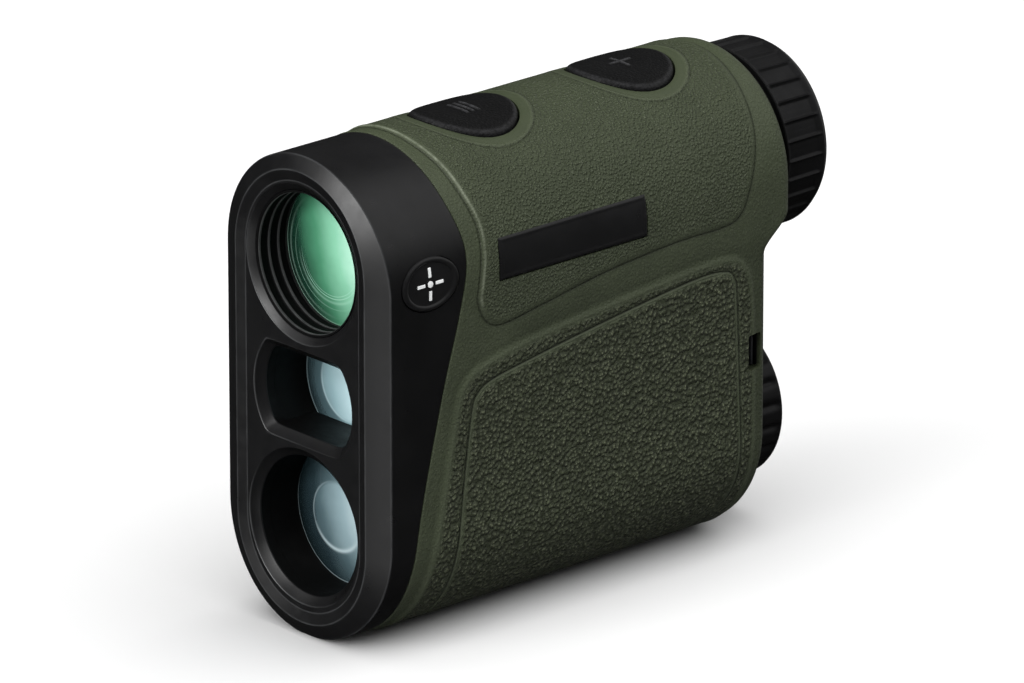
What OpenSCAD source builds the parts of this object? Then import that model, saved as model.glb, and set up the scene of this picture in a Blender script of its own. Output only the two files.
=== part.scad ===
// Handheld laser rangefinder: upright body, viewing optics on top, laser emitter in the
// middle, receiver and battery below. Millimetres, +Z up, front towards -Y.
// Every distance "behind the rim" is measured along +Y from the front rim of the bezel.

/* [Overall size] */
// Length from the front rim to the rim of the eyecup
overall_l = 94; // [93:0.5:96]
// Half width of the front bezel, also the radius of its round ends
bezel_r = 18.2; // [18.1:0.05:18.25]
// Height of the centre of the lower round end; below the bezel's radius it gives the body a flat foot
low_z = 18; // [17.95:0.05:18.05]
// Height of the centre of the upper round end
top_z = 57; // [56.9:0.1:57.3]
// How far the raised armour panels stand out from the bezel
panel_step = 0.4; // [0.3:0.05:0.5]

/* [Rubber armour] */
// Distance behind the rim of the lower rear face
low_rear_y = 78.3; // [78.3:0.1:79]
// Distance behind the rim of the rear face round the eyepiece
top_rear_y = 83.2; // [83:0.1:83.4]
// Rounding of the rear edge
rear_round = 2.4; // [1.5:0.1:3]
// Depth of the smooth bands below the raised panels
band_depth = 0.3; // [0.2:0.05:0.4]

/* [Front openings] */
// Height of the viewing axis, shared by objective and eyepiece
view_z = 58.4; // [58.3:0.05:58.5]
// Height of the laser emitter's axis
emit_z = 37.5; // [37.4:0.05:37.6]
// Height of the receiver's axis
recv_z = 17.15; // [17.1:0.05:17.2]
// Bore radius in front of the objective
view_bore_r = 11.2; // [11:0.05:11.25]
// Radius of the rounded sides of the emitter opening
emit_bore_r = 9.7; // [9.5:0.05:9.8]
// Half height of the emitter opening
emit_half_h = 6.2; // [6:0.05:6.25]
// Bore radius in front of the receiver
recv_bore_r = 10.85; // [10.6:0.05:10.9]

/* [Buttons] */
// Radius of each round button, seen from above
button_r = 8.1; // [7.8:0.1:8.2]
// Distance behind the rim of the front button's centre
front_button_y = 32.5; // [32:0.5:33]
// Distance behind the rim of the rear button's centre
rear_button_y = 64.1; // [63.5:0.1:64.5]
// How far a button can be pressed
button_travel = 0.6; // [0.4:0.1:0.6]

/* [Eyepiece] */
// Largest radius of the ribbed eyecup grip
grip_r = 14.9; // [14.7:0.05:15.1]
// Number of ribs round the grip
grip_ribs = 30; // [24:1:36]
// Travel of the ocular to each side of rest
focus_travel = 1.2; // [0.8:0.1:1.3]

/* [Battery] */
// Height of the battery's axis
battery_z = 17.1; // [17:0.05:17.2]
// Radius of the battery
battery_r = 7.75; // [7.7:0.05:7.8]
// Length of the battery without its terminal
battery_l = 26.8; // [26.5:0.1:26.8]
// Radius of the battery cap's knob
cap_r = 12.6; // [12.4:0.05:12.65]
// Number of flutes round the knob
cap_flutes = 22; // [18:1:26]
// Distance behind the rim of the battery cap's end
cap_end_y = 87; // [86.5:0.1:87.5]

/* [Nameplates and badges] */
// Length of each nameplate
plate_l = 29.5; // [28:0.5:30]
// Height of each nameplate
plate_h = 6.4; // [6:0.1:6.6]
// Length of each oval badge
badge_l = 11; // [10:0.1:11]
// Height of each oval badge
badge_h = 8; // [7:0.1:8.2]

/* [Hidden] */

$fn = 96;
lens_fn = 360;         // lens faces are small parts of large spheres
far = 60;              // longer than any cut has to be
over = 1;              // how far a cut runs past a face
seat_gap = 0.05;       // gap between two fixed pieces that touch
run_gap = 0.05;        // radial clearance of a running fit

// Shells, outside to inside
panel_r = bezel_r + panel_step;
band_r = panel_r - band_depth;
chassis_r = 16.6;
chassis_inner_r = 15;
skin_inner_r = chassis_r + seat_gap;
front_wall_y = 3.4;
chassis_y1 = front_wall_y + 0.2;
chassis_y2 = 73.5;
frame_y2 = 76.9;       // rear face of the lower part of the rear frame
collar_y2 = 81.75;     // rear face of the collar round the eyepiece tube

// Front rim of the bezel: a narrower outline whose round ends lie further out
rim_r = 14.35;
rim_low_z = 16.6;
rim_top_z = 58.6;
rim_bevel_y = 1.85;
recess_r = 12.6;
recess_y = 0.5;

// Side view of the line between bezel and armour, as [behind the rim, height]
bezel_edge = [
    [6.4, -14], [6.2, -4], [6, 5], [6.4, 14], [8.2, 24.6], [12.2, 40.9], [15.4, 51.9],
    [17, 60.7], [15.8, 69], [14.8, 78], [14.4, 88]
];
// Side view of the front and lower edges of the upper panel
upper_panel_front = [
    [14, 92], [16.4, 80], [18.6, 71.4], [20.1, 64], [19.2, 53], [20.4, 50], [24, 48.7],
    [33, 50], [45, 51.9], [59, 53.1], [69, 53.2], [72.4, 54.6], [74, 58.4], [76.4, 64.8],
    [78, 72], [79.4, 80], [80, 92]
];
// Side view of the front, top and rear edges of the lower panel
lower_panel_front = [
    [15.6, -16], [14.6, -2], [14.7, 13.5], [16.2, 26], [17.7, 36.5], [20.2, 39.8], [27, 41.3],
    [43, 43.7], [61.5, 46.2], [69.4, 45.8], [71, 42], [71.6, 32], [72.2, 17], [72.4, 4],
    [72.4, -6]
];

// Optics along the viewing axis
cell_y1 = front_wall_y + seat_gap;
cell_y2 = 14.15;
bulkhead_y1 = 14.2;
bulkhead_y2 = 15.8;
objective_r = 11.3;
objective_y = 7.4;
objective_curve = 40;
cement_curve = 30;
cement_y = 9;
objective_back_y = 11.8;
prism_a = 10.5;        // aperture of the prism pair
prism_y = 36.6;
prism_gap = 0.3;
shelf_z = 50.8;        // top of the shelves that carry the prism holder
holder_top_z = 64.6;

// Eyepiece, radii from the ocular outwards
ocular_r = 10.95;
ocular_bore_r = 9.9;
ocular_lens_r = ocular_bore_r - seat_gap;
ocular_y1 = 71;
ocular_y2 = 91;
tube_r_in = ocular_r + run_gap;
tube_r = 12.3;
tube_y2 = 90.4;
ring_r_in = tube_r + run_gap;
ring_r = 13.4;
ring_y1 = 84.2;
ring_y2 = 92.6;
grip_y1 = 85.2;
neck_y1 = 83.7;
neck_r = 13.9;
eyecup_r = 11.3;

// Battery bay
boss_r = 12.2;
thread_r = 10.5;
skirt_r = thread_r - run_gap;
skirt_r_in = 9.3;
skirt_y1 = 74.4;
knob_y1 = 77.3;
cap_inner_y = 84;
battery_y1 = 50.4;
battery_y2 = battery_y1 + battery_l;
bay_r_in = 8.15;
bay_r = 9.2;

// Keys and switches
key_guide = 0.3;       // gap round a button where it passes through the armour
key_proud = 0.35;      // how far a button stands above the armour panel
flange_r = 8.7;
flange_top_r = 16.3;
flange_z = 70.3;
stem_r = 2.2;
stem_z = 68.95;
carrier_z = 67.6;
carrier_t = 1;
switch_board_z = 65.9;
switch_board_t = 0.8;
switch_half = 2.25;
switch_top_z = 68.3;

// Screw places: chassis screws as [behind the rim, height], rear screws as [side, height]
chassis_bosses = [[24, 47], [60.6, 47], [36, 29.5], [60.6, 30.5]];
chassis_boss_r = 2.8;
rear_bosses = [[12.6, 24], [-12.6, 24], [12.6, 41.5], [-12.6, 41.5]];
rear_boss_r = 2.5;
screw_r = 0.95;
screw_hole_r = 1.0;
screw_head_r = 1.9;

// Lanyard tunnel on the right side, round a steel pin
lanyard_y = [74.1, 76];
lanyard_x = [13.6, 15.6];
lanyard_z = [28.8, 34.5];
lanyard_pin_r = 0.65;
lanyard_pin_at = [16.9, 77];
lanyard_pin_z = [26, 37.3];

// ---------- shared helpers ----------

// Moves the front rim to its place ahead of the origin
module placed() {
    translate([0, -overall_l / 2, 0])
        children();
}

// Round bar along Y
module rod_y(z, r, y1, y2, x = 0) {
    translate([x, y1, z])
        rotate([-90, 0, 0])
            cylinder(r = r, h = y2 - y1);
}

// Cone along Y
module cone_y(z, r1, r2, y1, y2) {
    translate([0, y1, z])
        rotate([-90, 0, 0])
            cylinder(r1 = r1, r2 = r2, h = y2 - y1);
}

// Ring along Y
module ring_y(z, r_out, r_in, y1, y2) {
    difference() {
        rod_y(z, r_out, y1, y2);
        rod_y(z, r_in, y1 - over, y2 + over);
    }
}

// Round bar along X
module rod_x(y, z, r, x1, x2) {
    translate([x1, y, z])
        rotate([0, 90, 0])
            cylinder(r = r, h = x2 - x1);
}

// Round bar along Z
module rod_z(x, y, r, z1, z2) {
    translate([x, y, z1])
        cylinder(r = r, h = z2 - z1);
}

// Box from its lowest to its highest corner
module block(low, high) {
    translate(low)
        cube(high - low);
}

// Turned shape about an axis along Y: the profile is [radius, behind the rim]
module turned(z) {
    translate([0, 0, z])
        rotate([-90, 0, 0])
            rotate_extrude()
                children();
}

// Solid with flat flanks and round ends: the profile is [half width, behind the rim]
module around(low, top) {
    turned(low)
        children();
    turned(top)
        children();
    translate([0, 0, low])
        linear_extrude(top - low) {
            children();
            mirror([1, 0])
                children();
        }
}

// The body's outline at radius r, from y1 to y2
module body_bar(r, y1, y2) {
    around(low_z, top_z)
        translate([0, y1])
            square([r, y2 - y1]);
}

// The body's outline at radius r, with a rounded rear edge
module body_round(r, y1, y2, edge) {
    around(low_z, top_z) {
        translate([0, y1])
            square([r, y2 - y1 - edge]);
        translate([0, y1])
            square([r - edge, y2 - y1]);
        translate([r - edge, y2 - edge])
            circle(edge);
    }
}

// Plate seen from the side: the outline is [behind the rim, height]
module side_slab(x1, x2) {
    translate([x1, 0, 0])
        rotate([90, 0, 90])
            linear_extrude(x2 - x1)
                children();
}

// Smooth curve through a list of points; the first and the last only steer it
function curve_point(a, b, c, d, t) =
    0.5 * (2 * b + (c - a) * t + (2 * a - 5 * b + 4 * c - d) * t * t
        + (3 * b - a - 3 * c + d) * t * t * t);
function smooth(p, steps) = [
    for (i = [1 : len(p) - 3], s = [0 : steps - 1])
        curve_point(p[i - 1], p[i], p[i + 1], p[i + 2], s / steps)
];

// Everything behind the line between bezel and armour
module behind_bezel_edge(shift) {
    side_slab(-far, far)
        translate([shift, 0])
            polygon(concat(smooth(bezel_edge, 5), [[far * 2, 78], [far * 2, -4]]));
}

// Height of a sphere's cap over a rim of radius r
function sag(r, curve) = curve - sqrt(curve * curve - r * r);

// Lens that bulges on both faces; y1 and y2 are its edges
module biconvex(z, r, y1, y2, front_curve, back_curve) {
    front = y1 - sag(r, front_curve);
    back = y2 + sag(r, back_curve);
    intersection() {
        rod_y(z, r, front, back);
        translate([0, front + front_curve, z])
            sphere(front_curve, $fn = lens_fn);
        translate([0, back - back_curve, z])
            sphere(back_curve, $fn = lens_fn);
    }
}

// Lens that bulges towards the front only
module front_convex(z, r, y1, y2, curve) {
    front = y1 - sag(r, curve);
    intersection() {
        rod_y(z, r, front, y2);
        translate([0, front + curve, z])
            sphere(curve, $fn = lens_fn);
    }
}

// Everything below the surface that the body stands on
module below_ground() {
    block([-far, -over, -far], [far, far * 2, 0]);
}

// ---------- outer shells ----------

// Bar with the emitter opening's section: round sides, flat top and bottom
module emitter_bar(r1, r2, h1, h2, y1, y2) {
    intersection() {
        cone_y(emit_z, r1, r2, y1, y2);
        side_slab(-far, far)
            polygon([
                [y1, emit_z - h1], [y1, emit_z + h1], [y2, emit_z + h2], [y2, emit_z - h2]
            ]);
    }
}

module front_openings() {
    view_bevel = 1.05;
    emit_bevel = 1.2;
    recv_bevel = 1.3;
    back = front_wall_y + over;
    cone_y(view_z, view_bore_r + view_bevel, view_bore_r, recess_y, recess_y + 0.85);
    rod_y(view_z, view_bore_r, recess_y, back);
    emitter_bar(emit_bore_r + emit_bevel, emit_bore_r, emit_half_h + emit_bevel, emit_half_h,
        recess_y, recess_y + 1.35);
    emitter_bar(emit_bore_r, emit_bore_r, emit_half_h, emit_half_h, recess_y, back);
    cone_y(recv_z, recv_bore_r + recv_bevel, recv_bore_r, recess_y, recess_y + 1.1);
    rod_y(recv_z, recv_bore_r, recess_y, back);
}

// Bezel nose: slopes in from the flanks to the narrow rim
module bezel_nose() {
    slope = (bezel_r - rim_r) / rim_bevel_y;
    around(rim_low_z, rim_top_z)
        polygon([
            [0, 0], [rim_r, 0], [rim_r + 3 * slope, 3], [rim_r + 3 * slope, far], [0, far]
        ]);
}

module bezel_recess() {
    slope = (rim_r - recess_r) / recess_y;
    around(rim_low_z, rim_top_z)
        polygon([
            [0, -over], [rim_r + over * slope, -over], [recess_r, recess_y], [0, recess_y]
        ]);
}

badge_at = [9.6, 58];
module badge_outline(grow) {
    translate(badge_at)
        scale([badge_l / badge_h, 1])
            circle(badge_h / 2 + grow);
}

module front_bezel() {
    color("#1c1c1e")
        placed()
            difference() {
                intersection() {
                    body_bar(bezel_r, 0, far);
                    bezel_nose();
                }
                behind_bezel_edge(0);
                below_ground();
                bezel_recess();
                front_openings();
                body_bar(skin_inner_r, front_wall_y, far + over);
                difference() {
                    side_slab(-far, far)
                        badge_outline(seat_gap);
                    body_bar(17.55, -over, far);
                }
            }
}

// Region above the sloping step between the two rear faces
module above_step(low_y, high_y, rise) {
    side_slab(-far, far)
        polygon([
            [40, 46.5 + rise], [low_y, 46.5 + rise], [high_y, 52.5 + rise], [high_y + far, 52.5 + rise],
            [high_y + far, 90], [40, 90]
        ]);
}

module armour_outside() {
    body_round(band_r, 0, low_rear_y, rear_round);
    intersection() {
        body_round(band_r, 0, top_rear_y, rear_round);
        above_step(low_rear_y, top_rear_y, 0);
    }
    intersection() {
        body_bar(panel_r, 0, top_rear_y - rear_round - 0.8);
        side_slab(-far, far)
            polygon(smooth(upper_panel_front, 4));
    }
    intersection() {
        body_bar(panel_r, 0, low_rear_y - rear_round - 0.4);
        side_slab(-far, far)
            polygon(smooth(lower_panel_front, 4));
    }
}

module plate_outline(grow) {
    translate([23.1 - grow, 55.5 - grow])
        square([plate_l + 2 * grow, plate_h + 2 * grow]);
}

module lanyard_tunnel() {
    block([lanyard_x[0], lanyard_y[0], lanyard_z[0]], [far, lanyard_y[1], lanyard_z[1]]);
    block([lanyard_x[0], lanyard_y[0], lanyard_z[0]], [lanyard_x[1], far * 2, lanyard_z[1]]);
}

module lanyard_pin_hole() {
    rod_z(lanyard_pin_at[0], lanyard_pin_at[1], lanyard_pin_r + seat_gap,
        lanyard_pin_z[0] - seat_gap, lanyard_pin_z[1] + seat_gap);
}

module rubber_armour() {
    color("#414a37")
        placed()
            difference() {
                armour_outside();
                below_ground();
                difference() {
                    block([-far, -over, -far], [far, far, far * 2]);
                    behind_bezel_edge(seat_gap);
                }
                body_bar(skin_inner_r, -over, frame_y2 + seat_gap);
                intersection() {
                    body_bar(skin_inner_r, -over, collar_y2 + seat_gap);
                    above_step(frame_y2, collar_y2, 0.5);
                }
                rod_y(view_z, tube_r + 0.3, 70, far * 2);
                rod_y(battery_z, cap_r + 0.4, 70, far * 2);
                for (y = [front_button_y, rear_button_y])
                    rod_z(0, y, button_r + key_guide, top_z, far * 2);
                difference() {
                    side_slab(-far, far)
                        plate_outline(seat_gap);
                    body_bar(17.85, -over, far * 2);
                }
                lanyard_tunnel();
                lanyard_pin_hole();
            }
}

module nameplate(side) {
    color("#161617")
        placed()
            difference() {
                intersection() {
                    body_bar(panel_r + 0.1, 0, far);
                    side_slab(side > 0 ? 0 : -far, side > 0 ? far : 0)
                        plate_outline(0);
                }
                body_bar(17.9, -over, far * 2);
            }
}

module right_nameplate() { nameplate(1); }
module left_nameplate() { nameplate(-1); }

module badge(side) {
    color("#242426")
        placed()
            difference() {
                intersection() {
                    body_bar(bezel_r + 0.3, 0, far);
                    side_slab(side > 0 ? 0 : -far, side > 0 ? far : 0)
                        badge_outline(0);
                }
                body_bar(17.6, -over, far);
                difference() {
                    side_slab(-far, far)
                        badge_outline(-0.7);
                    body_bar(bezel_r, -over, far);
                }
            }
}

module right_badge() { badge(1); }
module left_badge() { badge(-1); }

module lanyard_pin() {
    color("#b9bcc0")
        placed()
            rod_z(lanyard_pin_at[0], lanyard_pin_at[1], lanyard_pin_r,
                lanyard_pin_z[0], lanyard_pin_z[1]);
}

// ---------- chassis ----------

module bulkhead() {
    difference() {
        body_bar(chassis_inner_r + 0.2, bulkhead_y1, bulkhead_y2);
        rod_y(view_z, 9.8, 0, far);
        emitter_bar(emit_bore_r, emit_bore_r, emit_half_h, emit_half_h, 10, 20);
        rod_y(recv_z, 10.2, 0, far);
    }
}

// Both chassis halves as one solid, before the split at the middle plane
module chassis_whole() {
    difference() {
        union() {
            difference() {
                body_bar(chassis_r, chassis_y1, chassis_y2);
                body_bar(chassis_inner_r, chassis_y1 - over, chassis_y2 + over);
            }
            bulkhead();
            for (b = chassis_bosses)
                rod_x(b[0], b[1], chassis_boss_r, -chassis_inner_r - 0.2, chassis_inner_r + 0.2);
            for (b = rear_bosses)
                rod_y(b[1], rear_boss_r, 62, chassis_y2, b[0]);
            for (side = [-1, 1])
                translate([side * 13.9, 34, shelf_z - 1.6])
                    translate([-1.3, 0, 0])
                        cube([2.6, 26, 1.6]);
        }
        for (y = [front_button_y, rear_button_y])
            rod_z(0, y, flange_r + 0.3, top_z, far * 2);
        for (b = chassis_bosses) {
            rod_x(b[0], b[1], screw_hole_r, -7.2, far);
            rod_x(b[0], b[1], screw_head_r + 0.1, 8, far);
        }
        for (b = rear_bosses)
            rod_y(b[1], screw_hole_r, 63.8, far * 2, b[0]);
        for (side = [-1, 1])
            rod_z(side * 13.9, 43, 0.65, shelf_z - 1.5, shelf_z + over);
    }
}

module chassis_left() {
    color("#2f3133")
        placed()
            intersection() {
                chassis_whole();
                block([-far, 0, -over], [-seat_gap / 2, far * 2, far * 2]);
            }
}

module chassis_right() {
    color("#2f3133")
        placed()
            intersection() {
                chassis_whole();
                block([seat_gap / 2, 0, -over], [far, far * 2, far * 2]);
            }
}

module chassis_screws() {
    color("#8f9296")
        placed()
            for (b = chassis_bosses) {
                rod_x(b[0], b[1], screw_r, -7, 8.1);
                difference() {
                    rod_x(b[0], b[1], screw_head_r, 8.05, 9.4);
                    rod_x(b[0], b[1], 0.7, 8.9, far, $fn = 6);
                }
            }
}

module rear_frame() {
    color("#28292b")
        placed()
            difference() {
                union() {
                    body_bar(chassis_r, chassis_y2 + seat_gap, frame_y2);
                    intersection() {
                        body_bar(chassis_r, chassis_y2 + seat_gap, collar_y2);
                        above_step(frame_y2, collar_y2, 0.5);
                    }
                    rod_y(view_z, tube_r, chassis_y2 + seat_gap, tube_y2);
                    rod_y(battery_z, boss_r, chassis_y2 + seat_gap, frame_y2);
                }
                rod_y(view_z, tube_r_in, chassis_y2 - over, tube_y2 + over);
                rod_y(battery_z, thread_r, chassis_y2 - over, frame_y2 + over);
                for (b = rear_bosses) {
                    rod_y(b[1], screw_hole_r, 70, far * 2, b[0]);
                    rod_y(b[1], screw_head_r + 0.1, frame_y2 - 1.6, far * 2, b[0]);
                }
                lanyard_tunnel();
                lanyard_pin_hole();
            }
}

module rear_frame_screws() {
    color("#8f9296")
        placed()
            for (b = rear_bosses) {
                rod_y(b[1], screw_r, 64, frame_y2 - 1.5, b[0]);
                difference() {
                    rod_y(b[1], screw_head_r, frame_y2 - 1.55, frame_y2 - 0.2, b[0]);
                    translate([b[0], frame_y2 - 0.8, b[1]])
                        rotate([-90, 0, 0])
                            cylinder(r = 0.7, h = 2, $fn = 6);
                }
            }
}

// ---------- objective ----------

module objective_cell() {
    color("#202124")
        placed()
            turned(view_z)
                difference() {
                    translate([objective_r - 1.3, cell_y1])
                        square([2.6, cell_y2 - cell_y1]);
                    translate([0, cell_y1 - over])
                        square([objective_r + 0.1, objective_back_y + 0.05 - cell_y1 + over]);
                }
}

// Sleeve from inside the bezel's bore back to the seal, with three ridges against stray light
module objective_retaining_ring() {
    ridge_y = 1.7;
    pitch = 1.85;
    back_y = 6.8;
    step_y = cell_y1 + seat_gap;
    crest_r = 10.75;
    root_r = 10.95;
    nose_r = view_bore_r - seat_gap;
    outer_r = objective_r + 0.05;
    ridge = [[root_r, -0.4], [crest_r, -0.15], [crest_r, 0.15], [root_r, 0.4]];
    color("#18191b")
        placed()
            turned(view_z)
                polygon(concat(
                    [[nose_r, ridge_y - 0.4]],
                    [for (i = [0 : 2], p = ridge) [p[0], ridge_y + i * pitch + p[1]]],
                    [[root_r, back_y], [outer_r, back_y], [outer_r, step_y], [nose_r, step_y]]
                ));
}

module objective_seal_ring() {
    color("#101012")
        placed()
            ring_y(view_z, objective_r + 0.05, 10.9, 6.85, 7.2);
}

module objective_front_element() {
    color([0.35, 0.75, 0.5, 0.5])
        placed()
            biconvex(view_z, objective_r, objective_y, cement_y, objective_curve, cement_curve);
}

module objective_rear_element() {
    color([0.5, 0.7, 0.6, 0.5])
        placed()
            difference() {
                rod_y(view_z, objective_r, cement_y + 0.02, objective_back_y);
                translate([0, cement_y + sag(objective_r, cement_curve) - cement_curve, view_z])
                    sphere(cement_curve + 0.02, $fn = lens_fn);
            }
}

// ---------- laser emitter ----------

lens_grow = 0.5;       // how far the emitter lens reaches into its pocket

module emitter_cell() {
    wall = 1.2;
    color("#202124")
        placed()
            difference() {
                emitter_bar(emit_bore_r + wall, emit_bore_r + wall,
                    emit_half_h + 1, emit_half_h + 1, cell_y1, cell_y2);
                emitter_bar(emit_bore_r, emit_bore_r, emit_half_h, emit_half_h,
                    cell_y1 - over, cell_y2 + over);
                emitter_bar(emit_bore_r + lens_grow, emit_bore_r + lens_grow,
                    emit_half_h + lens_grow, emit_half_h + lens_grow, 9.4, cell_y2 + over);
            }
}

module emitter_lens() {
    curve = 34;
    r = emit_bore_r + lens_grow - seat_gap;
    h = emit_half_h + lens_grow - seat_gap;
    color([0.75, 0.85, 0.95, 0.45])
        placed()
            intersection() {
                emitter_bar(r, r, h, h, 9.45, 12.6);
                translate([0, 8.6 + curve, emit_z])
                    sphere(curve, $fn = lens_fn);
            }
}

module laser_holder() {
    color("#6f7377")
        placed()
            difference() {
                block([-11.6, 33, 33.2], [14.95, 38, 41.8]);
                rod_y(emit_z, 2.35, 30, 40);
                rod_y(emit_z, 2.9, 34.95, 40);
                block([3.8, 31, 35], [13, 40, 40]);
                block([-10.4, 31, 35], [-3.8, 40, 40]);
            }
}

module laser_diode() {
    color("#c8a860")
        placed() {
            rod_y(emit_z, 2.3, 32.2, 35.1);
            rod_y(emit_z, 2.85, 35, 36.2);
            for (x = [-1.2, 0, 1.2])
                rod_y(emit_z, 0.25, 36.1, 42, x);
        }
}

// ---------- receiver ----------

recv_lens_r = 11.25;

module receiver_cell() {
    color("#202124")
        placed()
            turned(recv_z)
                difference() {
                    translate([recv_bore_r, cell_y1])
                        square([12 - recv_bore_r, cell_y2 - cell_y1]);
                    translate([0, 8.85])
                        square([recv_lens_r + 0.05, 6]);
                }
}

module receiver_lens() {
    color([0.75, 0.85, 0.95, 0.45])
        placed()
            front_convex(recv_z, recv_lens_r, 9.1, 12.6, 28);
}

module receiver_cone() {
    wall = 0.8;
    r_front = 11.2;
    r_back = 5.4;
    y1 = bulkhead_y2 + 0.05;
    y2 = 41;
    color("#1a1b1d")
        placed()
            difference() {
                cone_y(recv_z, r_front, r_back, y1, y2);
                cone_y(recv_z, r_front - wall, r_back - 2 * wall, y1 - 0.01, y2 - 1.2);
                rod_y(recv_z, r_back - 2 * wall, y2 - 1.3, y2 + over);
                rod_y(recv_z, r_back - wall, y2 - 1, y2 + over);
            }
}

module receiver_filter() {
    color([0.45, 0.12, 0.16, 0.7])
        placed()
            rod_y(recv_z, 4.55, 40.05, 40.85);
}

module photodiode() {
    color("#b9bcc0")
        placed() {
            rod_y(recv_z, 4.1, 41.2, 43.5);
            rod_y(recv_z, 4.6, 43.4, 43.95);
        }
}

module receiver_board() {
    color("#1f5b38")
        placed()
            intersection() {
                body_bar(14.9, 44, 45);
                block([-11.5, 40, 6], [13.5, 50, 26.4]);
            }
}

// ---------- prisms ----------

// Plan view of a prism: points are [along the axis, sideways] in prism apertures
module prism_plan(points, shift) {
    half = prism_a / 2;
    translate([0, prism_y, view_z - half])
        linear_extrude(prism_a)
            polygon([for (p = points) [p[1] * prism_a + shift, p[0] * prism_a + shift]]);
}

module half_penta_prism() {
    color([0.8, 0.9, 0.95, 0.4])
        placed()
            prism_plan([[0, -0.5], [0, 0.5], [1.207, -0.707], [1.207, -1]], 0);
}

module roof_prism() {
    ridge_tilt = 67.5;
    bar = 2 * prism_a;
    color([0.8, 0.9, 0.95, 0.4])
        placed()
            intersection() {
                prism_plan([[-0.03, 0.53], [1.229, -0.729], [1.229, 1.052]], prism_gap * 0.71);
                translate([0.53 * prism_a + 0.21, prism_y - 0.03 * prism_a + 0.21, view_z])
                    rotate([0, 0, ridge_tilt])
                        rotate([-45, 0, 0])
                            translate([-bar / 2, 0, 0])
                                cube([2 * bar, bar, bar]);
            }
}

holder_low = [-12.4, 35, shelf_z + seat_gap];
holder_high = [12.4, 51.2, holder_top_z];

module prism_holder() {
    wall = 0.9;
    window_r = 5.3;
    color("#34373a")
        placed()
            difference() {
                union() {
                    block(holder_low, holder_high);
                    block([-14.8, 40.5, holder_low[2]], [14.8, 45.5, holder_low[2] + 1.2]);
                }
                block(holder_low + [wall, wall, 1.6], [holder_high[0] - wall, holder_high[1] - wall, far * 2]);
                rod_y(view_z, window_r, 30, far);
                for (side = [-1, 1])
                    rod_z(side * 13.9, 43, 0.7, 0, far * 2);
            }
}

module prism_cover() {
    color("#8c8f93")
        placed()
            block([holder_low[0], holder_low[1], holder_top_z + 0.02],
                [holder_high[0], holder_high[1], holder_top_z + 0.7]);
}

module prism_holder_screws() {
    color("#8f9296")
        placed()
            for (side = [-1, 1]) {
                rod_z(side * 13.9, 43, 0.6, shelf_z - 1.4, shelf_z + 1.4);
                rod_z(side * 13.9, 43, 1, shelf_z + 1.3, shelf_z + 2.1);
            }
}

// ---------- display ----------

module display_frame() {
    color("#2b2d2f")
        placed()
            difference() {
                intersection() {
                    body_bar(14.9, 55, 58.4);
                    block([-far, 50, shelf_z + seat_gap], [far, far * 2, holder_top_z]);
                }
                block([-7.55, 55.95, 52.35], [7.55, far * 2, 64.45]);
                block([-6, 50, 53.9], [6, far * 2, 62.9]);
                block([-6.2, 56.5, shelf_z - over], [-1.8, 57, 53]);
            }
}

module display_module() {
    color([0.55, 0.65, 0.7, 0.6])
        placed()
            block([-7.5, 56, 52.4], [7.5, 57.4, 64.4]);
}

module display_flex() {
    color("#b5762a")
        placed() {
            block([-6, 56.6, 43.9], [-2, 56.8, 52.35]);
            block([-13.1, 56.6, 41], [-2, 56.8, 44.1]);
        }
}

// ---------- electronics ----------

module main_board() {
    color("#1f5b38")
        placed()
            difference() {
                block([-14.2, 18, 22], [-13.2, 57.4, 44]);
                rod_x(36, 29.5, chassis_boss_r + 0.2, -far, far);
            }
}

module board_components() {
    color("#232427")
        placed() {
            block([-13.15, 20, 34], [-12, 29, 43]);
            block([-13.15, 42, 33], [-12.2, 50, 41]);
            block([-13.15, 44, 24], [-11.8, 49, 28]);
            for (y = [21 : 3 : 30])
                block([-13.15, y, 30], [-12.3, y + 1.6, 31]);
        }
}

module button_carrier() {
    window = switch_half + 0.45;
    color("#2b2d2f")
        placed()
            difference() {
                union() {
                    block([-9.3, 22.5, carrier_z], [9.3, 69.4, carrier_z + carrier_t]);
                    for (y = [40, 56])
                        rod_z(0, y, 1.2, switch_board_z + switch_board_t, carrier_z + 0.1);
                }
                for (y = [front_button_y, rear_button_y])
                    block([-window, y - window, carrier_z - over],
                        [window, y + window, carrier_z + carrier_t + over]);
            }
}

module switch_board() {
    color("#1f5b38")
        placed()
            block([-8, 27, switch_board_z], [8, 69, switch_board_z + switch_board_t]);
}

module tact_switch(y) {
    base_z = switch_board_z + switch_board_t;
    color("#9a9da1")
        placed() {
            block([-switch_half, y - switch_half, base_z],
                [switch_half, y + switch_half, switch_top_z - 0.5]);
            rod_z(0, y, 1.4, switch_top_z - 0.6, switch_top_z);
        }
}

module front_switch() { tact_switch(front_button_y); }
module rear_switch() { tact_switch(rear_button_y); }

module switch_flex() {
    ribbon = [
        [-8.05, 66.3], [-12.9, 60], [-13.7, 55], [-13.7, 44.05], [-13.5, 44.05],
        [-13.5, 55], [-12.7, 60], [-8.05, 66]
    ];
    color("#b5762a")
        placed()
            translate([0, 32, 0])
                rotate([90, 0, 0])
                    linear_extrude(4)
                        polygon(ribbon);
}

// ---------- battery bay ----------

module battery_tube() {
    color("#3a3d40")
        placed()
            difference() {
                rod_y(battery_z, bay_r, 48, chassis_y2 - 0.1);
                rod_y(battery_z, bay_r_in, 49.2, far * 2);
                rod_y(battery_z, 1.3, 40, far);
            }
}

module front_contact() {
    color("#c9b36b")
        placed() {
            rod_y(battery_z, 4, 49.22, 49.55);
            rod_y(battery_z, 1.2, 47.6, 49.3);
        }
}

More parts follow.
